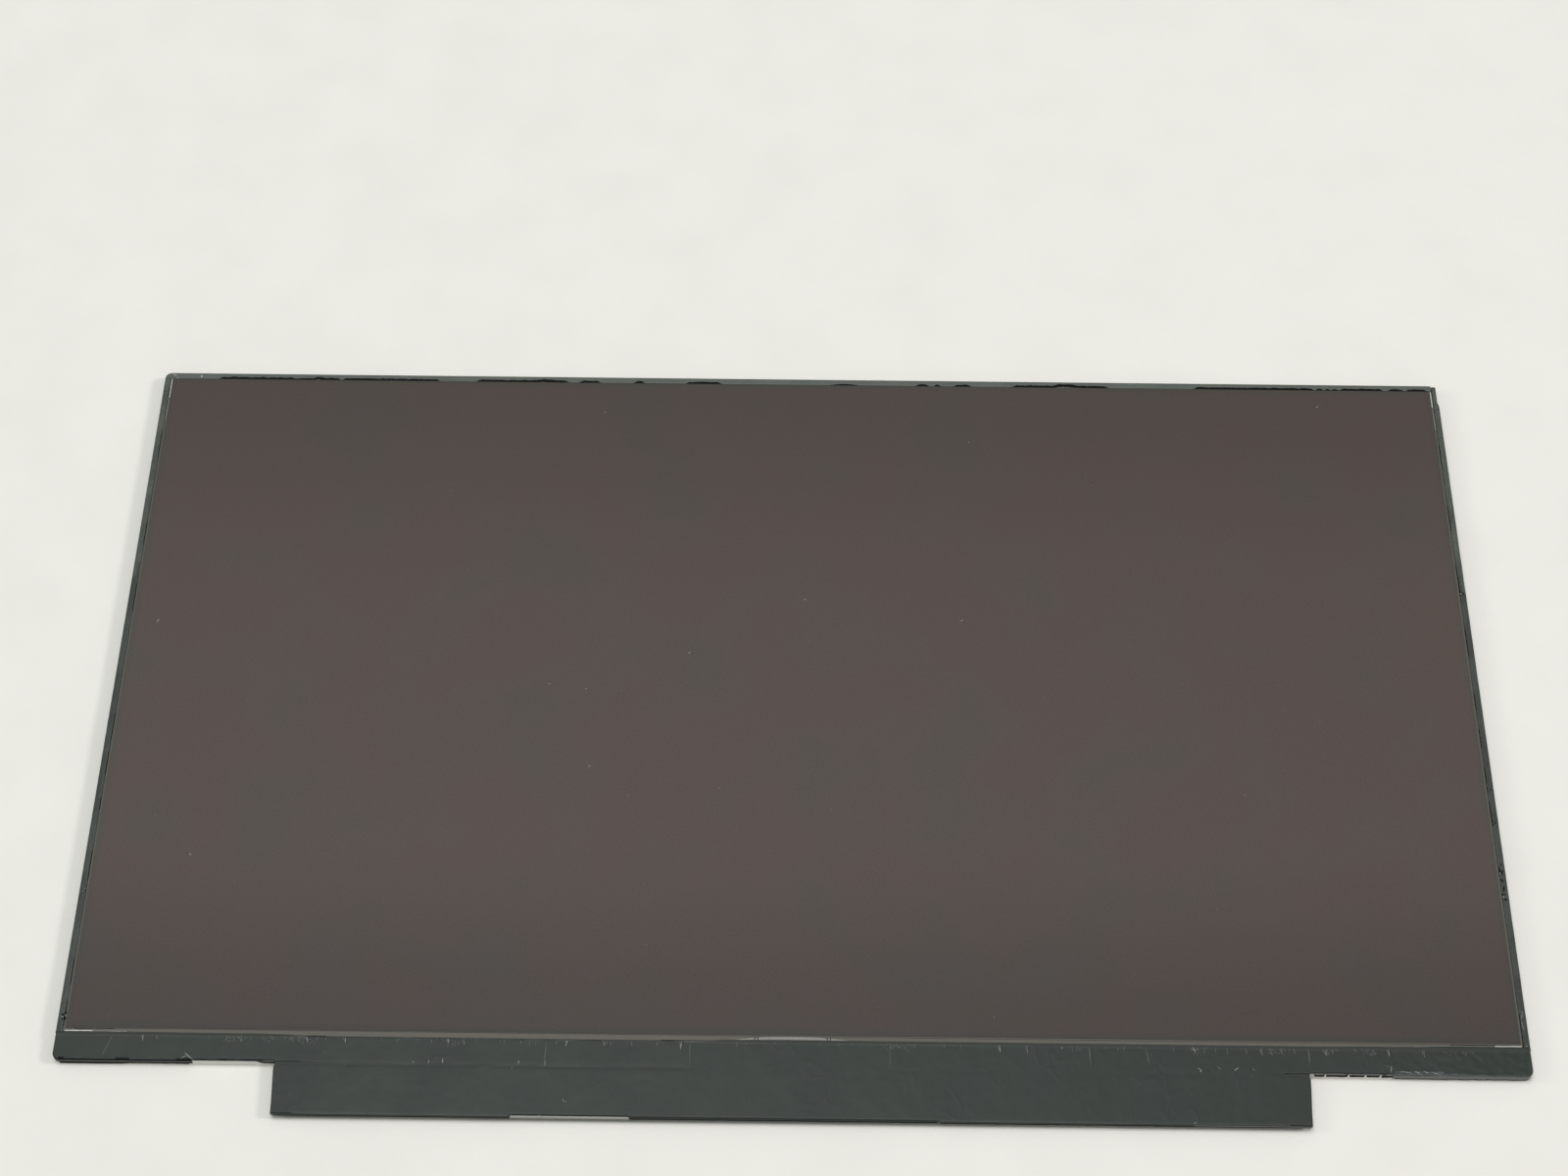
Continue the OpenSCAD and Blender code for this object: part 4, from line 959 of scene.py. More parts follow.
class PANEL_OT_cover_tape(bpy.types.Operator):
    """Builds the cover tape with its creases, torn edges and folded flaps"""

    bl_idname = "panel.cover_tape"
    bl_label = "Cover tape"

    def execute(self, context):
        look = context.scene.panel_tapes
        tape = CoverTape(look)
        # The black layer's material also serves as painted shade on the lower part of the tab's folded sides
        black = grained("Torn black layer", look.adhesive, 0.7, Specular_IOR_Level=0.15)
        grids = [([tape.band_column(x) for x in tape.columns], tape.band_material), (tape.tab_rows(), FILM)]
        for side in (-1, 1):
            grids += [(tape.flap(side), tape.flap_material), (tape.tab_fold(side), tape.tab_fold_material)]
        film = film_material("Cover tape", look.cover, look.cover_patches, 0.36, 5.0, 0.05)
        crumpled = film_material("Crumpled tape", times(look.flap, 0.5), look.flap, 0.3, 1.2, 0.06)
        # Lighter copy of the crumpled film: painted highlight where the folds face the light
        turned = film_material("Turned tape", times(look.flap, 1.2), times(look.flap, 1.7), 0.3, 1.2, 0.03)
        step = grained("Rubbed step", times(look.top, 0.5), 0.5)
        make_sheets("cover_tape_skin", grids, [film, black, crumpled, turned, step],
                    ["cover_tape"], TAPE_T)
        bm = bmesh.new()
        add_fringe(bm, tape)
        under = grained("Bonded layer", (0.05, 0.046, 0.038), 0.5)
        liner = grained("Pale liner", (0.32, 0.32, 0.30), 0.5)
        make_piece("cover_tape_torn_layers", bm, [film, black, under, liner], thickness=LAYER_T)
        bm = bmesh.new()
        add_marks(bm, tape)
        # Pale and faint marks: painted highlights on the creases, and scratches; the dark ones are painted
        # shade
        pale = grained("Stress marks", look.marks, 0.5, pitch=0.4, contrast=0.35)
        faint = grained("Faint marks", times(look.marks, 0.42), 0.5, pitch=0.4, contrast=0.35)
        shade = grained("Dark creases", times(look.cover, 0.45), 0.5, pitch=0.4)
        make_piece("cover_tape_marks", bm, [pale, faint, shade], thickness=MARK_T)
        return {"FINISHED"}


# Where the pale liner under the tape ends on the board's lower edge, and gaps in the black layer at the right
LINER_END = -34.2
TORN_GAPS = (113.65, 118.6, 122.2, 125.4)
# Materials of the torn layers after the film and the black one: the bonded layer and the pale liner
BONDED, LINER = 2, 3


def torn_hang(x):
    """How far the black layer hangs down the wall, right of the board and left of it."""
    if x > 0.0:
        near = min(abs(x - gap) for gap in TORN_GAPS)
        return (1.05 + 0.35 * torn(x, 27.0)) * smooth(0.1, 0.25, near) * smooth(111.0, 111.6, x)
    return 0.12 * torn(x, 27.0) + 0.95 * smooth(-114.6, -112.6, x)


def wall_layer(point, place):
    """The torn layer's material along the wall."""
    x = point[0]
    if x > 0.0:
        return BONDED if place < 3 and torn(x, 3.0) > 0.3 else BLACK
    return FILM if place < 3 and x > -112.8 else BLACK


def foot_layer(point, place):
    """Material below the tape's set-back edge: the liner at the left, then film with a black edge."""
    if point[0] < LINER_END:
        return LINER if place else BLACK
    return BLACK if place == 3 else FILM


def add_fringe(bm, tape):
    """Layers that show at the torn edges: black, bonded, the film itself, and the pale liner."""
    under = TAPE_Z - TAPE_T
    for start, end in ((-FLAP_X, -BOARD_X), (BOARD_X, FLAP_X)):
        rows = []
        for x in spread(start, end, 0.15):
            edge = tape.outer_edge(x) if BOARD_X < abs(x) < FLAP_X else WALL_Y + 0.1
            hang = torn_hang(x)
            rows.append([(x, edge + 0.12, TAPE_Z - 0.06), (x, WALL_Y + 0.03, under + 0.01),
                         (x, WALL_Y - 0.015, under - 0.02), (x, WALL_Y - 0.02, under - 0.02 - 0.35 * hang),
                         (x, WALL_Y - 0.02, under - 0.02 - hang)])
        sheet_grid(bm, rows, wall_layer)
    rows = []
    for x in spread(FOOT_START + 0.1, FOOT_END + FOOT_EASE, 0.3):
        edge = tape.foot_edge(x)
        rows.append([(x, edge + 0.05, under), (x, edge - 0.1, under - 0.01),
                     (x, FOOT_Y + 0.08, under - 0.02 - 0.02 * torn(x, 2.0)),
                     (x, FOOT_Y + 0.05, BOARD_Z + 0.6), (x, FOOT_Y + 0.04, BOARD_Z)])
    sheet_grid(bm, rows, foot_layer)
    add_mark(bm, lambda x, y: TAPE_Z - 0.05, (-53.4, FOOT_Y + 0.3), (-52.4, FOOT_Y + 0.12), 0.35, LINER)


# Fine marks under the glass strip, rubbed ones in each millimetre, and specks on the tab
FINE_MARKS, RUBS_A_MM, TAB_SPECKS = 45, 14, 60
# Painted shade along the creases at the flaps' folds: both ends and how many
FLAP_CREASES = ((-156.0, -129.0, 7), (128.6, 150.0, 5))


def add_marks(bm, tape):
    """Creases and scratches of the cover tape, bright, faint or dark, with painted highlights and shade on
    the creases and folds.
    """
    rng = Random(5)

    def mark(start, end, width, material):
        add_mark(bm, tape.height, start, end, width, material)

    # Each crease takes a painted highlight; a strong one also a fainter one beside it and painted shade on
    # its other side
    for place, length, lean, strength in CREASES:
        start = inner_edge(place) - rng.uniform(0.1, 0.2)
        foot = LEDGE_Y - length - 0.4
        strong = strength > 0.65
        mark((place, start), (place + lean, foot), 0.14 + 0.16 * strength, PALE if strong else FAINT)
        if strong:
            mark((place - 0.3, start), (place + lean - 0.35, foot + 0.5), 0.2, FAINT)
            mark((place + 0.22, start), (place + lean + 0.28, foot), 0.12, SHADE)
    for scratch in SCRATCHES:
        mark(*scratch)
    for _ in range(FINE_MARKS):
        x, length = rng.uniform(-125.0, 128.0), rng.uniform(0.5, 1.7)
        top = inner_edge(x) - 0.15
        mark((x, top), (x + rng.gauss(0.0, 0.1), top - length), rng.uniform(0.1, 0.18), FAINT)
    for middle, half in RUBBED:
        for _ in range(int(half * RUBS_A_MM)):
            x, y = middle + rng.uniform(-half, half), inner_edge(middle) - 0.2 - 1.5 * rng.random() ** 2
            turn = rng.gauss(1.57, 0.6) if half < 2.8 else rng.gauss(0.4, 0.7)
            size = rng.uniform(0.25, 0.8)
            mark((x, y), (x + size * math.cos(turn), y - size * math.sin(turn)), 0.15, FAINT)
    # Painted shade along each flap's fold
    low = EDGE_Y + 0.42
    for start, end, count in FLAP_CREASES:
        for i in range(count):
            left = start + (end - start) * i / count
            right = min(left + (end - start) / count * rng.uniform(0.75, 1.1), 156.0)
            mark((left, low + 0.08 * rng.random()), (right, low + 0.08 * rng.random()), rng.uniform(0.1, 0.2),
                 SHADE)
    for _ in range(TAB_SPECKS):
        x, y = rng.uniform(-106.0, 106.0), rng.uniform(FOOT_Y + 1.0, BOARD_TOP_Y - 0.5)
        size = rng.uniform(0.1, 0.35)
        turn = rng.uniform(0.0, 3.1)
        mark((x, y), (x + size * math.cos(turn), y + size * math.sin(turn)), 0.07, FAINT)


# Places along the top tape where its torn edge shows the black layer below
BLACK_SPANS = ((-144, -126), (-120.5, -114.5), (-113.5, -90), (-80, -58), (-54.5, -50), (-41, -39),
               (-28, -20), (29, 31.5), (33.5, 34.5), (38.5, 42), (53, 76), (98, 127), (128, 129.3),
               (130.3, 131.2), (132, 133), (134, 144), (146, 149.2), (150.5, 155))
# Humps of that edge: middle, width and height
TOP_HUMPS = ((-122.5, 9.0, 0.5), (-63.0, 5.0, 0.3), (11.0, 7.0, 0.45), (66.0, 7.0, 0.5))
# Marks on the edge tapes, the bright ones painted glints at folds and nicks: both ends, width and material
EDGE_MARKS = (
    ((-156.5, 98.7), (-154.8, 97.5), 0.22, FAINT), ((-156.0, 98.8), (-155.1, 98.0), 0.14, PALE),
    ((-149.2, 98.0), (-148.6, 97.9), 0.4, PALE), ((-154.9, 97.3), (-154.6, 97.3), 0.22, PALE),
    ((-157.2, -76.4), (-156.0, -77.9), 0.45, SHADE), ((-156.1, -76.0), (-157.1, -78.2), 0.4, SHADE),
    ((-157.0, -77.5), (-156.3, -76.8), 0.3, PALE), ((-157.2, -45.9), (-157.0, -45.9), 0.25, PALE),
    ((-157.3, -47.0), (-156.9, -46.5), 0.12, FAINT), ((-157.5, -47.6), (-157.2, -47.2), 0.12, SHADE),
    ((157.3, -71.6), (156.7, -74.0), 0.12, FAINT), ((156.7, -74.0), (157.0, -76.6), 0.12, FAINT),
    ((157.0, -80.0), (157.2, -80.1), 0.25, PALE), ((156.8, -44.4), (157.3, -45.0), 0.5, SHADE),
    ((156.5, -36.4), (157.0, -38.6), 0.35, SHADE), ((157.0, -38.6), (157.3, -37.2), 0.3, SHADE),
    ((156.6, -39.4), (157.0, -40.4), 0.4, SHADE), ((157.1, -41.2), (156.8, -42.8), 0.4, SHADE),
    ((156.6, -43.2), (157.2, -43.6), 0.4, SHADE), ((157.0, -36.2), (157.3, -35.6), 0.3, SHADE),
    ((157.0, -25.6), (157.3, -25.0), 0.25, SHADE), ((157.0, -17.0), (157.3, -16.4), 0.25, SHADE),
    ((157.0, 36.4), (157.4, 37.0), 0.25, SHADE), ((157.2, 91.4), (157.5, 91.8), 0.3, SHADE),
)


def black_share(x):
    """How much of the black layer shows at that place."""
    return max(smooth(a - 0.6, a + 0.6, x) * (1.0 - smooth(b - 0.6, b + 0.6, x)) for a, b in BLACK_SPANS)


def hump(x):
    """How far the top tape's torn edge climbs."""
    return max(h * max(0.0, 1.0 - ((x - m) / (w / 2.0)) ** 2) for m, w, h in TOP_HUMPS)


def top_edge(x, tear):
    """Torn lower edge of the top tape."""
    return SCREEN_TOP_Y + 0.12 + hump(x) + black_share(x) * (0.42 + 1.1 * tear * torn(1.8 * x, 13.0))


class EdgeTapes:
    """The three narrow tapes folded over the frame's edges."""

    fold = 0.25

    def __init__(self, look):
        self.tear = look.tear / MM

    def level(self, x, y):
        """Level of the tapes' face."""
        return EDGE_TAPE_Z - 0.012 + 0.012 * wave(x, y, 4.0, 5.0)

    def top_column(self, x):
        """Points of one column of the top tape, from its torn edge to the fold."""
        start, end = top_edge(x, self.tear), corner_inset(x, self.fold, TOP_Y, 1)
        ys = [start + (end - start) * i / 5.0 for i in range(6)]
        return [(x, y, self.level(x, y)) for y in ys]

    def top_columns(self):
        """Columns from the rounded left corner to the right end."""
        return [-x for x in reversed(corner_columns(self.fold))] + spread(-CORNER_X, GLASS_X, 0.45)

    def top_fold(self):
        """Rows of the fold round the left corner and over the top wall."""
        columns = self.top_columns()
        ring = [(x, y, z, -1.0, 0.0) for x, y, z in self.top_column(columns[0])[:-1]]
        ring += [(*self.top_column(x)[-1], *outward(x, self.fold, 1)) for x in columns]
        levels = [0.3 + 0.3 * torn(p[0] + p[1], 17.0) for p in ring]

        def bulge(index, share):
            return -0.1 * abs(wave(ring[index][0], share, 6.0, 1.0))

        return fold_down(ring, self.fold, levels, bulge)

    def torn_rows(self):
        """Rows of the layers that show between the screen and the top tape."""
        rows = []
        for x in spread(-GLASS_X, GLASS_X, 0.2):
            edge = top_edge(x, self.tear)
            share = max(black_share(x), min(1.0, 6.0 * hump(x)) if x < 0.0 or x > 20.0 else 0.0)
            wide = share * (0.6 + 0.5 * torn(1.6 * x, 8.0))
            rows.append([(x, SCREEN_TOP_Y + 0.005, FACE_Z + 0.01),
                         (x, max(SCREEN_TOP_Y + 0.006, edge - wide), FACE_Z + 0.02),
                         (x, edge + 0.1, FACE_Z + 0.03)])
        return rows

    def side_rows(self, side, start, end, out, bites):
        """Rows of a side tape between two heights, its outer face at the given X."""
        lump = -0.14 if side > 0 else -0.08
        rows = []
        for y in spread(start, end, 0.5):
            bite = max([0.0] + [0.35 * max(0.0, 1.0 - abs(y - EDGE_Y - b) / 1.1) for b in bites])
            inner = GLASS_X + 0.03 + bite + 0.06 * torn(y, 19.0 + side)
            ring_x = out(y) - self.fold
            row = [(side * (inner + (ring_x - inner) * share), y, self.level(inner, y))
                   for share in (0.0, 0.12, 0.5)]
            ring = [(side * ring_x, y, self.level(ring_x, y), side, 0.0)]

            def bulge(index, share):
                return lump * share * abs(wave(y, share, 5.0, 7.0 + side))

            rows.append(row + fold_down(ring, self.fold, [0.3 + 0.35 * torn(y, 23.0 + side)], bulge)[0])
        return rows

    def gap_rows(self, side):
        """Rows of the black layer in the gap between the glass and a side tape."""
        level = FACE_Z - 0.03
        outer = side * (GLASS_X + 0.7)
        return [[(side * (GLASS_X + 0.02 + 0.1 * torn(y, 31.0)), y, level), (outer, y, level)]
                for y in spread(LEDGE_Y + 0.2, SCREEN_TOP_Y, 0.5)]


# Places along the side tapes, up from the lower edge, where bites are torn out of them
LEFT_BITES = (9.9, 41.0)
RIGHT_BITES = (43.0, 49.0, 61.7, 70.3, 123.8)
# Material of a side tape's worn stretch, after its film and the black layer
WORN = 2


def right_face(y):
    """X of the right tape's outer face: tight on the frame at the top corner, and wider below."""
    tight = FRAME_X + TAPE_T
    start = TOP_Y - 5.6
    return tight + (HALF_W - tight) * (1.0 - smooth(start - 1.0, start + 0.6, y)) \
        - 0.06 * abs(wave(y, 2.0, 9.0, 4.0))


def side_layer(point, place):
    """Material of the side tapes: black where the inner edge is broken, and worn towards the top."""
    x, y, _ = point
    if place == 0:
        return BLACK if wave(y, 0.0, 9.0, 2.0 if x < 0.0 else 6.0) > 0.08 else FILM
    return WORN if y > 38.0 + 10.0 * wave(place, 0.0, 1.7, 3.0) and place < 6 else FILM


# Materials of the layers below the top tape's edge
TORN_BLACK, GLASS_RIM = range(2)


def rim_layer(point, place):
    """Material below the top tape's edge: black next to the tape, and dark glass next to the screen."""
    return TORN_BLACK if place or 4.0 < point[0] < 18.0 else GLASS_RIM


class PANEL_OT_edge_tapes(bpy.types.Operator):
    """Builds the top tape and the two side tapes, folded over the frame"""

    bl_idname = "panel.edge_tapes"
    bl_label = "Edge tapes"

    def execute(self, context):
        look = context.scene.panel_tapes
        tapes = EdgeTapes(look)
        # The top tape's lighter colour is painted sheen
        top = film_material("Top tape", times(look.top, 0.82), look.top, 0.34, 3.0, 0.04, 2.0, 0.04)
        handled = (0.34, 1.6, 0.05, 1.6, 0.06)
        film = film_material("Side tape", times(look.edge, 0.7), times(look.edge, 1.2), *handled)
        worn = film_material("Worn side tape", look.edge, times(look.edge, 1.9), *handled)
        black = grained("Torn black layer", look.adhesive, 0.7, Specular_IOR_Level=0.15)
        border = grained("Dark glass rim", context.scene.panel_screen.border, 0.4)
        columns = [tapes.top_column(x) for x in tapes.top_columns()]
        make_sheets("top_tape_skin", [(columns, 0), (tapes.top_fold(), 0)], [top],
                    ["top_edge_tape"], TAPE_T)
        make_sheets("top_tape_torn_layers", [(tapes.torn_rows(), rim_layer)], [black, border])
        left = tapes.side_rows(-1, LEDGE_Y, SCREEN_TOP_Y + 0.1, lambda y: HALF_W, LEFT_BITES)
        right = tapes.side_rows(1, LEDGE_Y, TOP_Y - 0.45, right_face, RIGHT_BITES)
        for name, rows in (("left", left), ("right", right)):
            make_sheets(name + "_tape_skin", [(rows, side_layer)], [film, black, worn],
                        [name + "_edge_tape"], TAPE_T)
        gaps = [(tapes.gap_rows(side), 0) for side in (-1.0, 1.0)]
        make_sheets("side_tape_torn_layers", gaps, [black])
        bm = bmesh.new()
        for start, end, width, material in EDGE_MARKS:
            add_mark(bm, tapes.level, start, end, width, material)
        # Bright marks: painted glints at the tapes' folds and nicks
        pale = grained("Bright scratches", (0.5, 0.5, 0.47), 0.4, pitch=0.3, contrast=0.3)
        faint = grained("Faint scratches", look.marks, 0.5, pitch=0.4, contrast=0.35)
        make_piece("edge_tape_marks", bm, [pale, faint, black], thickness=MARK_T)
        return {"FINISHED"}


# Frame, rear cover and sheets inside

class PANEL_OT_body(bpy.types.Operator):
    """Finishes the frame, the rear cover, its foils and the sheets inside"""

    bl_idname = "panel.body"
    bl_label = "Frame and rear cover"

    def execute(self, context):
        look = context.scene.panel_body
        finish_nodes(grained("Moulded frame", look.moulding, 0.45, pitch=0.5, contrast=0.03), "mould_frame")
        finish_nodes(metal_material("Rolled sheet", look.cover, 0.38, (6.0, 0.3, 1.0)), "rear_cover")
        foil = metal_material("Foil", (0.72, 0.72, 0.71), 0.3, (3.0, 3.0, 3.0), 0.15)
        finish_nodes(foil, *numbered("ground_foil", 3))
        for name, shade, roughness, nodes in (
                ("Reflector", (0.9, 0.9, 0.89), 0.3, ["reflector_sheet"]),
                ("Light guide", (0.75, 0.8, 0.8), 0.12, ["light_guide"]),
                ("Diffuser", (0.82, 0.82, 0.81), 0.6, ["lower_diffuser", "upper_diffuser"]),
                ("Prism sheet", (0.7, 0.73, 0.75), 0.3, ["lower_prism_sheet", "upper_prism_sheet"]),
                ("Black tape", (0.012, 0.012, 0.012), 0.5, ["rim_tape", "ledge_tape", "light_bar_tape"])):
            finish_nodes(grained(name, shade, roughness), *nodes)
        return {"FINISHED"}


# Board and its parts

def islands(name):
    """Limits, in millimetres, of the separate bodies in a CAD node."""
    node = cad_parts[name]
    bm = bmesh.new()
    bm.from_mesh(node.data)
    bmesh.ops.remove_doubles(bm, verts=bm.verts, dist=0.001 * MM)
    seen = set()
    boxes = []
    for first in bm.verts:
        if first in seen:
            continue
        seen.add(first)
        body = [first]
        for vert in body:
            for edge in vert.link_edges:
                other = edge.other_vert(vert)
                if other not in seen:
                    seen.add(other)
                    body.append(other)
        places = [node.matrix_world @ vert.co / MM for vert in body]
        boxes.append([[pick(p[i] for p in places) for i in range(3)] for pick in (min, max)])
    bm.free()
    return boxes


def add_prism(bm, outline, axis, start, end, material=0):
    """A prism between two places along X (axis 0) or Y (axis 1); its outline holds (across, height)."""
    ends = []
    for along in (start, end):
        places = [(along, u, v) if axis == 0 else (u, along, v) for u, v in outline]
        ends.append([bm.verts.new(Vector(p) * MM) for p in places])
    count = len(outline)
    near, far = ends
    faces = [near[::-1], far]
    faces += [(near[i], near[(i + 1) % count], far[(i + 1) % count], far[i]) for i in range(count)]
    for face in faces:
        bm.faces.new(face).material_index = material


# Thickness of the plating on a chip part's ends
PLATING_T = 0.014


def add_terminals(bm, box, share):
    """Plated ends of one chip part, each with a solder fillet down to the board."""
    (x0, y0, low), (x1, y1, high) = box
    axis = 0 if x1 - x0 > y1 - y0 else 1
    start, end = ((x0, x1), (y0, y1))[axis]
    side, other = ((y0, y1), (x0, x1))[axis]
    cap = (end - start) * share
    near, far = side - PLATING_T, other + PLATING_T
    around = [(near, low - PLATING_T), (far, low - PLATING_T), (far, high), (near, high)]
    for inner, outer, way in ((start + cap, start, -1.0), (end - cap, end, 1.0)):
        add_prism(bm, around, axis, inner, outer + way * PLATING_T)
        slope = [(outer, high), (outer + way * 0.22, high), (outer + way * 0.07, high - 0.35 * (high - low)),
                 (outer, high - 0.7 * (high - low))]
        add_prism(bm, slope, 1 - axis, side + 0.03, other - 0.03, 1)


def add_track(bm, points, width):
    """A copper track under the solder mask, along points on the board's rear face."""
    level = BOARD_Z - 0.007
    rows = []
    for i, (x, y) in enumerate(points):
        before, after = points[max(0, i - 1)], points[min(len(points) - 1, i + 1)]
        way = Vector((after[0] - before[0], after[1] - before[1])).normalized() * width / 2.0
        rows.append([(x - way.y, y + way.x, level), (x + way.y, y - way.x, level)])
    sheet_grid(bm, rows)


# Materials of the rings and pads: gold, tin and the hole
GOLD, TIN, HOLE = range(3)
RING_CORNERS = 14


def add_ring(bm, x, y, outer, inner, material):
    """A flat plated ring or pad with a darker middle on the board's rear face."""
    for radius, drop, index in ((outer, 0.012, material), (inner, 0.015, HOLE)):
        if radius:
            turn = [2.0 * math.pi * i / RING_CORNERS for i in range(RING_CORNERS)]
            add_flake(bm, [(x + radius * math.cos(a), y + radius * math.sin(a)) for a in turn],
                      BOARD_Z + 0.01, BOARD_Z - drop, index)


# Chips on the board, its tracks and loose vias, and places along it of its test pads
CHIPS = ("timing_chip", "power_chip", "light_driver_chip", "memory_chip")
TRACK_W, TRACK_PITCH = 0.15, 0.34
LOOSE_VIAS = 60
TEST_PADS = (-64.0, -60.5, -29.0, -26.5, -24.0, 1.5, 14.0, 16.5, 31.0, 47.5, 50.0, 62.0, 79.5, 86.0, 104.5)


def board_detail(look):
    """Tracks, vias and test pads on the board's rear face, and the plated ends of its chip parts."""
    rng = Random(21)
    bm = bmesh.new()
    low, high = limit("control_board", 0, 1) + 1.9, BOARD_TOP_Y - 0.7
    parts = {name: islands(name) for name in ("ceramic_capacitors", "chip_resistors")}
    taken = [box for boxes in parts.values() for box in boxes]
    for name in (*CHIPS, *numbered("power_inductor", 3), "connector_shell", "led_socket",
                 *numbered("ground_foil", 3)):
        taken.append([[limit(name, high_end, axis) for axis in range(3)] for high_end in (0, 1)])

    def free(x, y, clear):
        """Whether a round pad there keeps clear of every part."""
        return all(not (a[0] - clear <= x <= b[0] + clear and a[1] - clear <= y <= b[1] + clear)
                   for a, b in taken)

    vias = []
    for start in range(-106, 104, 7):
        count = rng.randint(3, 6)
        lane = rng.uniform(low + 1.0, high - 1.6)
        x0 = start + rng.uniform(0.0, 4.0)
        x1 = min(107.5, x0 + rng.uniform(9.0, 26.0))
        shift = rng.choice((-1.0, 1.0)) * rng.uniform(0.8, 2.4)
        for i in range(count):
            y = lane + TRACK_PITCH * i
            bend = x0 + (x1 - x0) * 0.45 + TRACK_PITCH * i * (1.0 if shift < 0.0 else -1.0)
            end_y = y + shift
            if low < y < high and low < end_y < high:
                points = [(x0 + 0.5 * i, y), (bend, y), (bend + abs(shift), end_y), (x1 - 0.4 * i, end_y)]
                add_track(bm, points, TRACK_W)
                vias += [points[0], points[-1]]
    for _ in range(LOOSE_VIAS):
        vias.append((rng.uniform(-107.0, 107.0), rng.uniform(low, high)))
    copper = grained("Masked copper", times(look.mask, 1.6), 0.3, pitch=0.5)
    make_piece("board_tracks", bm, [copper])
    bm = bmesh.new()
    for x, y in vias:
        if free(x, y, 0.4):
            add_ring(bm, x, y, 0.23, 0.09, GOLD)
    for x in TEST_PADS:
        y = low + 0.3 + rng.uniform(0.0, 6.5)
        if free(x, y, 0.7):
            add_ring(bm, x, y, 0.5, 0.0, TIN)
    for x in (-107.3, 107.3):
        add_ring(bm, x, (low + high) / 2.0, 0.9, 0.45, GOLD)
    gold = metal_material("Plated copper", (0.8, 0.6, 0.3), 0.35, (2.0, 2.0, 2.0))
    tin = metal_material("Tin", (0.78, 0.78, 0.76), 0.4, (4.0, 4.0, 4.0))
    hole = grained("Via hole", (0.01, 0.02, 0.015), 0.6)
    make_piece("board_vias", bm, [gold, tin, hole])
    bm = bmesh.new()
    for name, share in (("ceramic_capacitors", 0.24), ("chip_resistors", 0.2)):
        for box in parts[name]:
            add_terminals(bm, box, share)
    solder = metal_material("Solder", (0.72, 0.72, 0.72), 0.25, (3.0, 3.0, 3.0))
    make_piece("part_terminals", bm, [tin, solder])


class PANEL_OT_board(bpy.types.Operator):
    """Finishes the films, the board and the parts on it"""

    bl_idname = "panel.board"
    bl_label = "Board and films"

    def execute(self, context):
        look = context.scene.panel_body
        amber = film_material("Amber film", (0.2, 0.09, 0.02), (0.26, 0.12, 0.03), 0.25, 8.0, 0.02)
        for material, nodes in (
                (grained("Solder mask", look.mask, 0.32, pitch=0.5, contrast=0.1), ["control_board"]),
                (grained("Black epoxy", (0.018, 0.018, 0.02), 0.55, pitch=0.12),
                 [*CHIPS, "led_socket_latch"]),
                (grained("Ferrite", (0.05, 0.05, 0.055), 0.5, pitch=0.15), numbered("power_inductor", 3)),
                (grained("Cream plastic", (0.72, 0.66, 0.52), 0.42), ["connector_housing", "led_socket"]),
                (metal_material("Plated shell", (0.74, 0.73, 0.7), 0.28, (8.0, 0.5, 2.0)),
                 ["connector_shell"]),
                (metal_material("Gold plating", (0.85, 0.6, 0.25), 0.25, (2.0,) * 3), ["connector_contacts"]),
                (grained("Capacitor body", (0.3, 0.19, 0.11), 0.4, pitch=0.1), ["ceramic_capacitors"]),
                (grained("Resistor film", (0.015, 0.015, 0.018), 0.35, pitch=0.1), ["chip_resistors"]),
                (grained("Diode resin", (0.8, 0.7, 0.35), 0.3, pitch=0.15), ["led_packages"]),
                (grained("Bare silicon", (0.08, 0.08, 0.1), 0.12, pitch=0.2), numbered("driver_chip", 4)),
                (amber, ["led_flex", *numbered("source_film", 4)])):
            finish_nodes(material, *nodes)
        board_detail(look)
        return {"FINISHED"}


# Stage

# Lamps by the names of their settings: place, size and colour
LAMPS = (("ceiling", (-0.3, 0.2, 3.5), 2.2, (1.0, 1.0, 1.0)),
         ("window", (3.0, 0.0, 2.05), 0.62, (1.0, 0.92, 0.93)),
         ("side", (-2.0, 0.0, 1.0), 0.5, (0.85, 1.0, 1.0)))
TABLE_HALF = 6.0
SENSOR_W = 36.0
CAMERA_PLACE = (0.00189, -0.35288, 0.57514)
CAMERA_TURN = (0.59694, -0.00013, 0.01335)


class PANEL_OT_stage(bpy.types.Operator):
    """Lays the table, and sets the light and the camera"""

    bl_idname = "panel.stage"
    bl_label = "Stage"

    def execute(self, context):
        look = context.scene.panel_stage
        scene = context.scene
        bm = bmesh.new()
        bmesh.ops.create_grid(bm, x_segments=60, y_segments=60, size=TABLE_HALF)
        mesh = bpy.data.meshes.new("table")
        bm.to_mesh(mesh)
        bm.free()
        table = bpy.data.objects.new("table", mesh)
        scene.collection.objects.link(table)
        mesh.materials.append(table_material(look.table))
        sky(scene, look.daylight)
        for name, place, size, tone in LAMPS:
            lamp(scene, name + "_light", place, size, getattr(look, name), tone)
        camera = bpy.data.objects.new("camera", bpy.data.cameras.new("camera"))
        scene.collection.objects.link(camera)
        camera.data.sensor_width = SENSOR_W
        camera.data.lens = look.lens
        camera.data.clip_start = 0.01
        camera.location = CAMERA_PLACE
        camera.rotation_euler = CAMERA_TURN
        scene.camera = camera
        scene.view_settings.view_transform = "Standard"
        return {"FINISHED"}


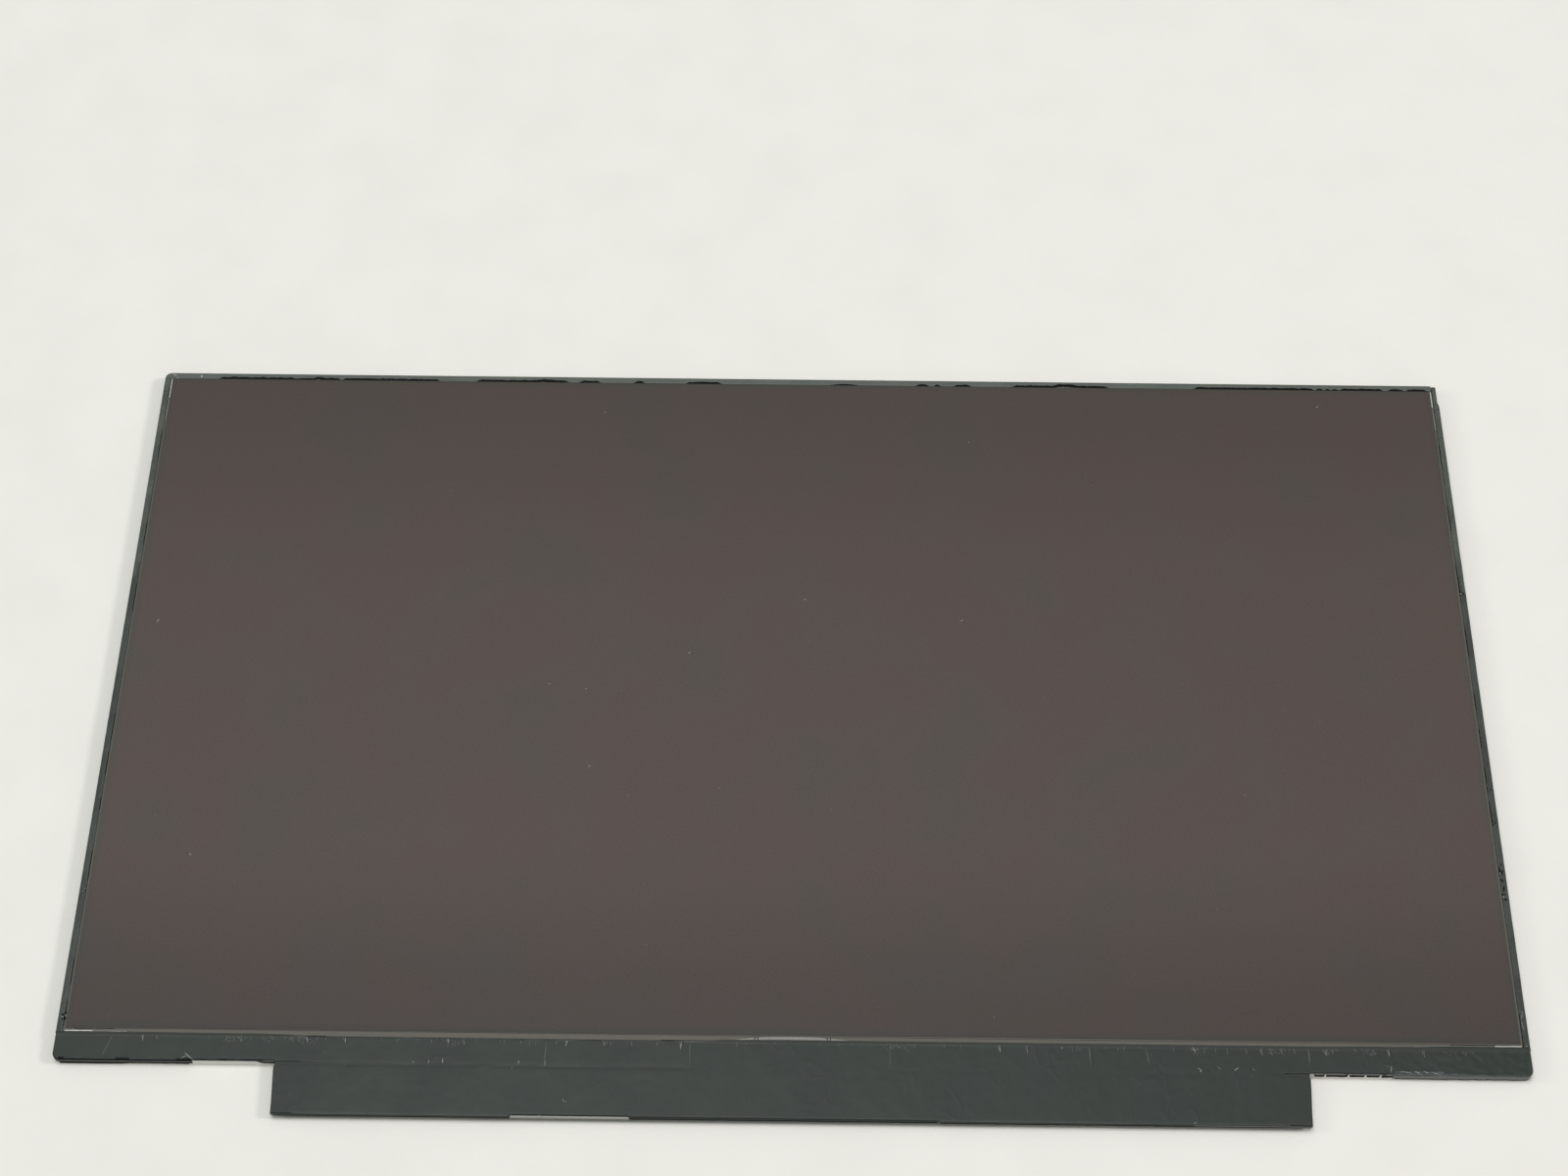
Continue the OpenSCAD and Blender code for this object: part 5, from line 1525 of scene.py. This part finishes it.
def table_material(colour):
    """Pale laminate with a faint mottle."""
    material, tree, shader = plain_shader("Pale laminate", colour, 0.7, Specular_IOR_Level=0.2)
    cloud = cloudy(tree, scaled_place(tree, 0.05), detail=4.0)
    fine = effect(tree, "grain", pitch=0.5)["Grain"]
    mottle = shared(tree, band(tree, cloud, 0.3, 0.7), fine, 0.7)
    tree.links.new(tint(tree, mottle, times(colour, 0.975), times(colour, 1.02)), shader["Base Color"])
    bumped(tree, shader, fine, 0.01)
    return material


def sky(scene, strength):
    """Even pale light from all round."""
    world = bpy.data.worlds.new("Daylight")
    world.use_nodes = True
    back = world.node_tree.nodes["Background"]
    back.inputs["Color"].default_value = (1.0, 0.99, 0.965, 1.0)
    back.inputs["Strength"].default_value = strength
    scene.world = world


def lamp(scene, name, place, size, power, colour):
    """A square soft light that looks at the middle of the panel."""
    data = bpy.data.lights.new(name, "AREA")
    data.shape = "RECTANGLE"
    data.size = data.size_y = size
    data.energy = power
    data.color = colour
    light = bpy.data.objects.new(name, data)
    light.location = place
    light.rotation_mode = "QUATERNION"
    light.rotation_quaternion = (-Vector(place)).to_track_quat("-Z", "Y")
    scene.collection.objects.link(light)


class PANEL_PT_sidebar(bpy.types.Panel):
    """Lists the steps and their settings"""

    bl_idname = "PANEL_PT_sidebar"
    bl_label = "Laptop Screen Panel"
    bl_space_type = "VIEW_3D"
    bl_region_type = "UI"
    bl_category = "Screen Panel"

    def draw(self, context):
        layout = self.layout
        for operator in STEPS:
            layout.operator(operator.bl_idname)
        for name, group in SETTINGS.items():
            box = layout.box()
            box.label(text=group.__doc__)
            for key in group.__annotations__:
                box.prop(getattr(context.scene, name), key)


STEPS = (PANEL_OT_screen, PANEL_OT_cover_tape, PANEL_OT_edge_tapes, PANEL_OT_body, PANEL_OT_board,
         PANEL_OT_stage)


def register():
    for group in SETTINGS.values():
        bpy.utils.register_class(group)
    for name, group in SETTINGS.items():
        setattr(bpy.types.Scene, name, bpy.props.PointerProperty(type=group))
    for step in (*STEPS, PANEL_PT_sidebar):
        bpy.utils.register_class(step)


def unregister():
    for step in (PANEL_PT_sidebar, *reversed(STEPS)):
        bpy.utils.unregister_class(step)
    for name, group in SETTINGS.items():
        delattr(bpy.types.Scene, name)
        bpy.utils.unregister_class(group)


def main():
    """Registers the add-on and runs its steps in order."""
    register()
    bpy.ops.panel.screen()
    bpy.ops.panel.cover_tape()
    bpy.ops.panel.edge_tapes()
    bpy.ops.panel.body()
    bpy.ops.panel.board()
    bpy.ops.panel.stage()


if __name__ == "__main__":
    main()
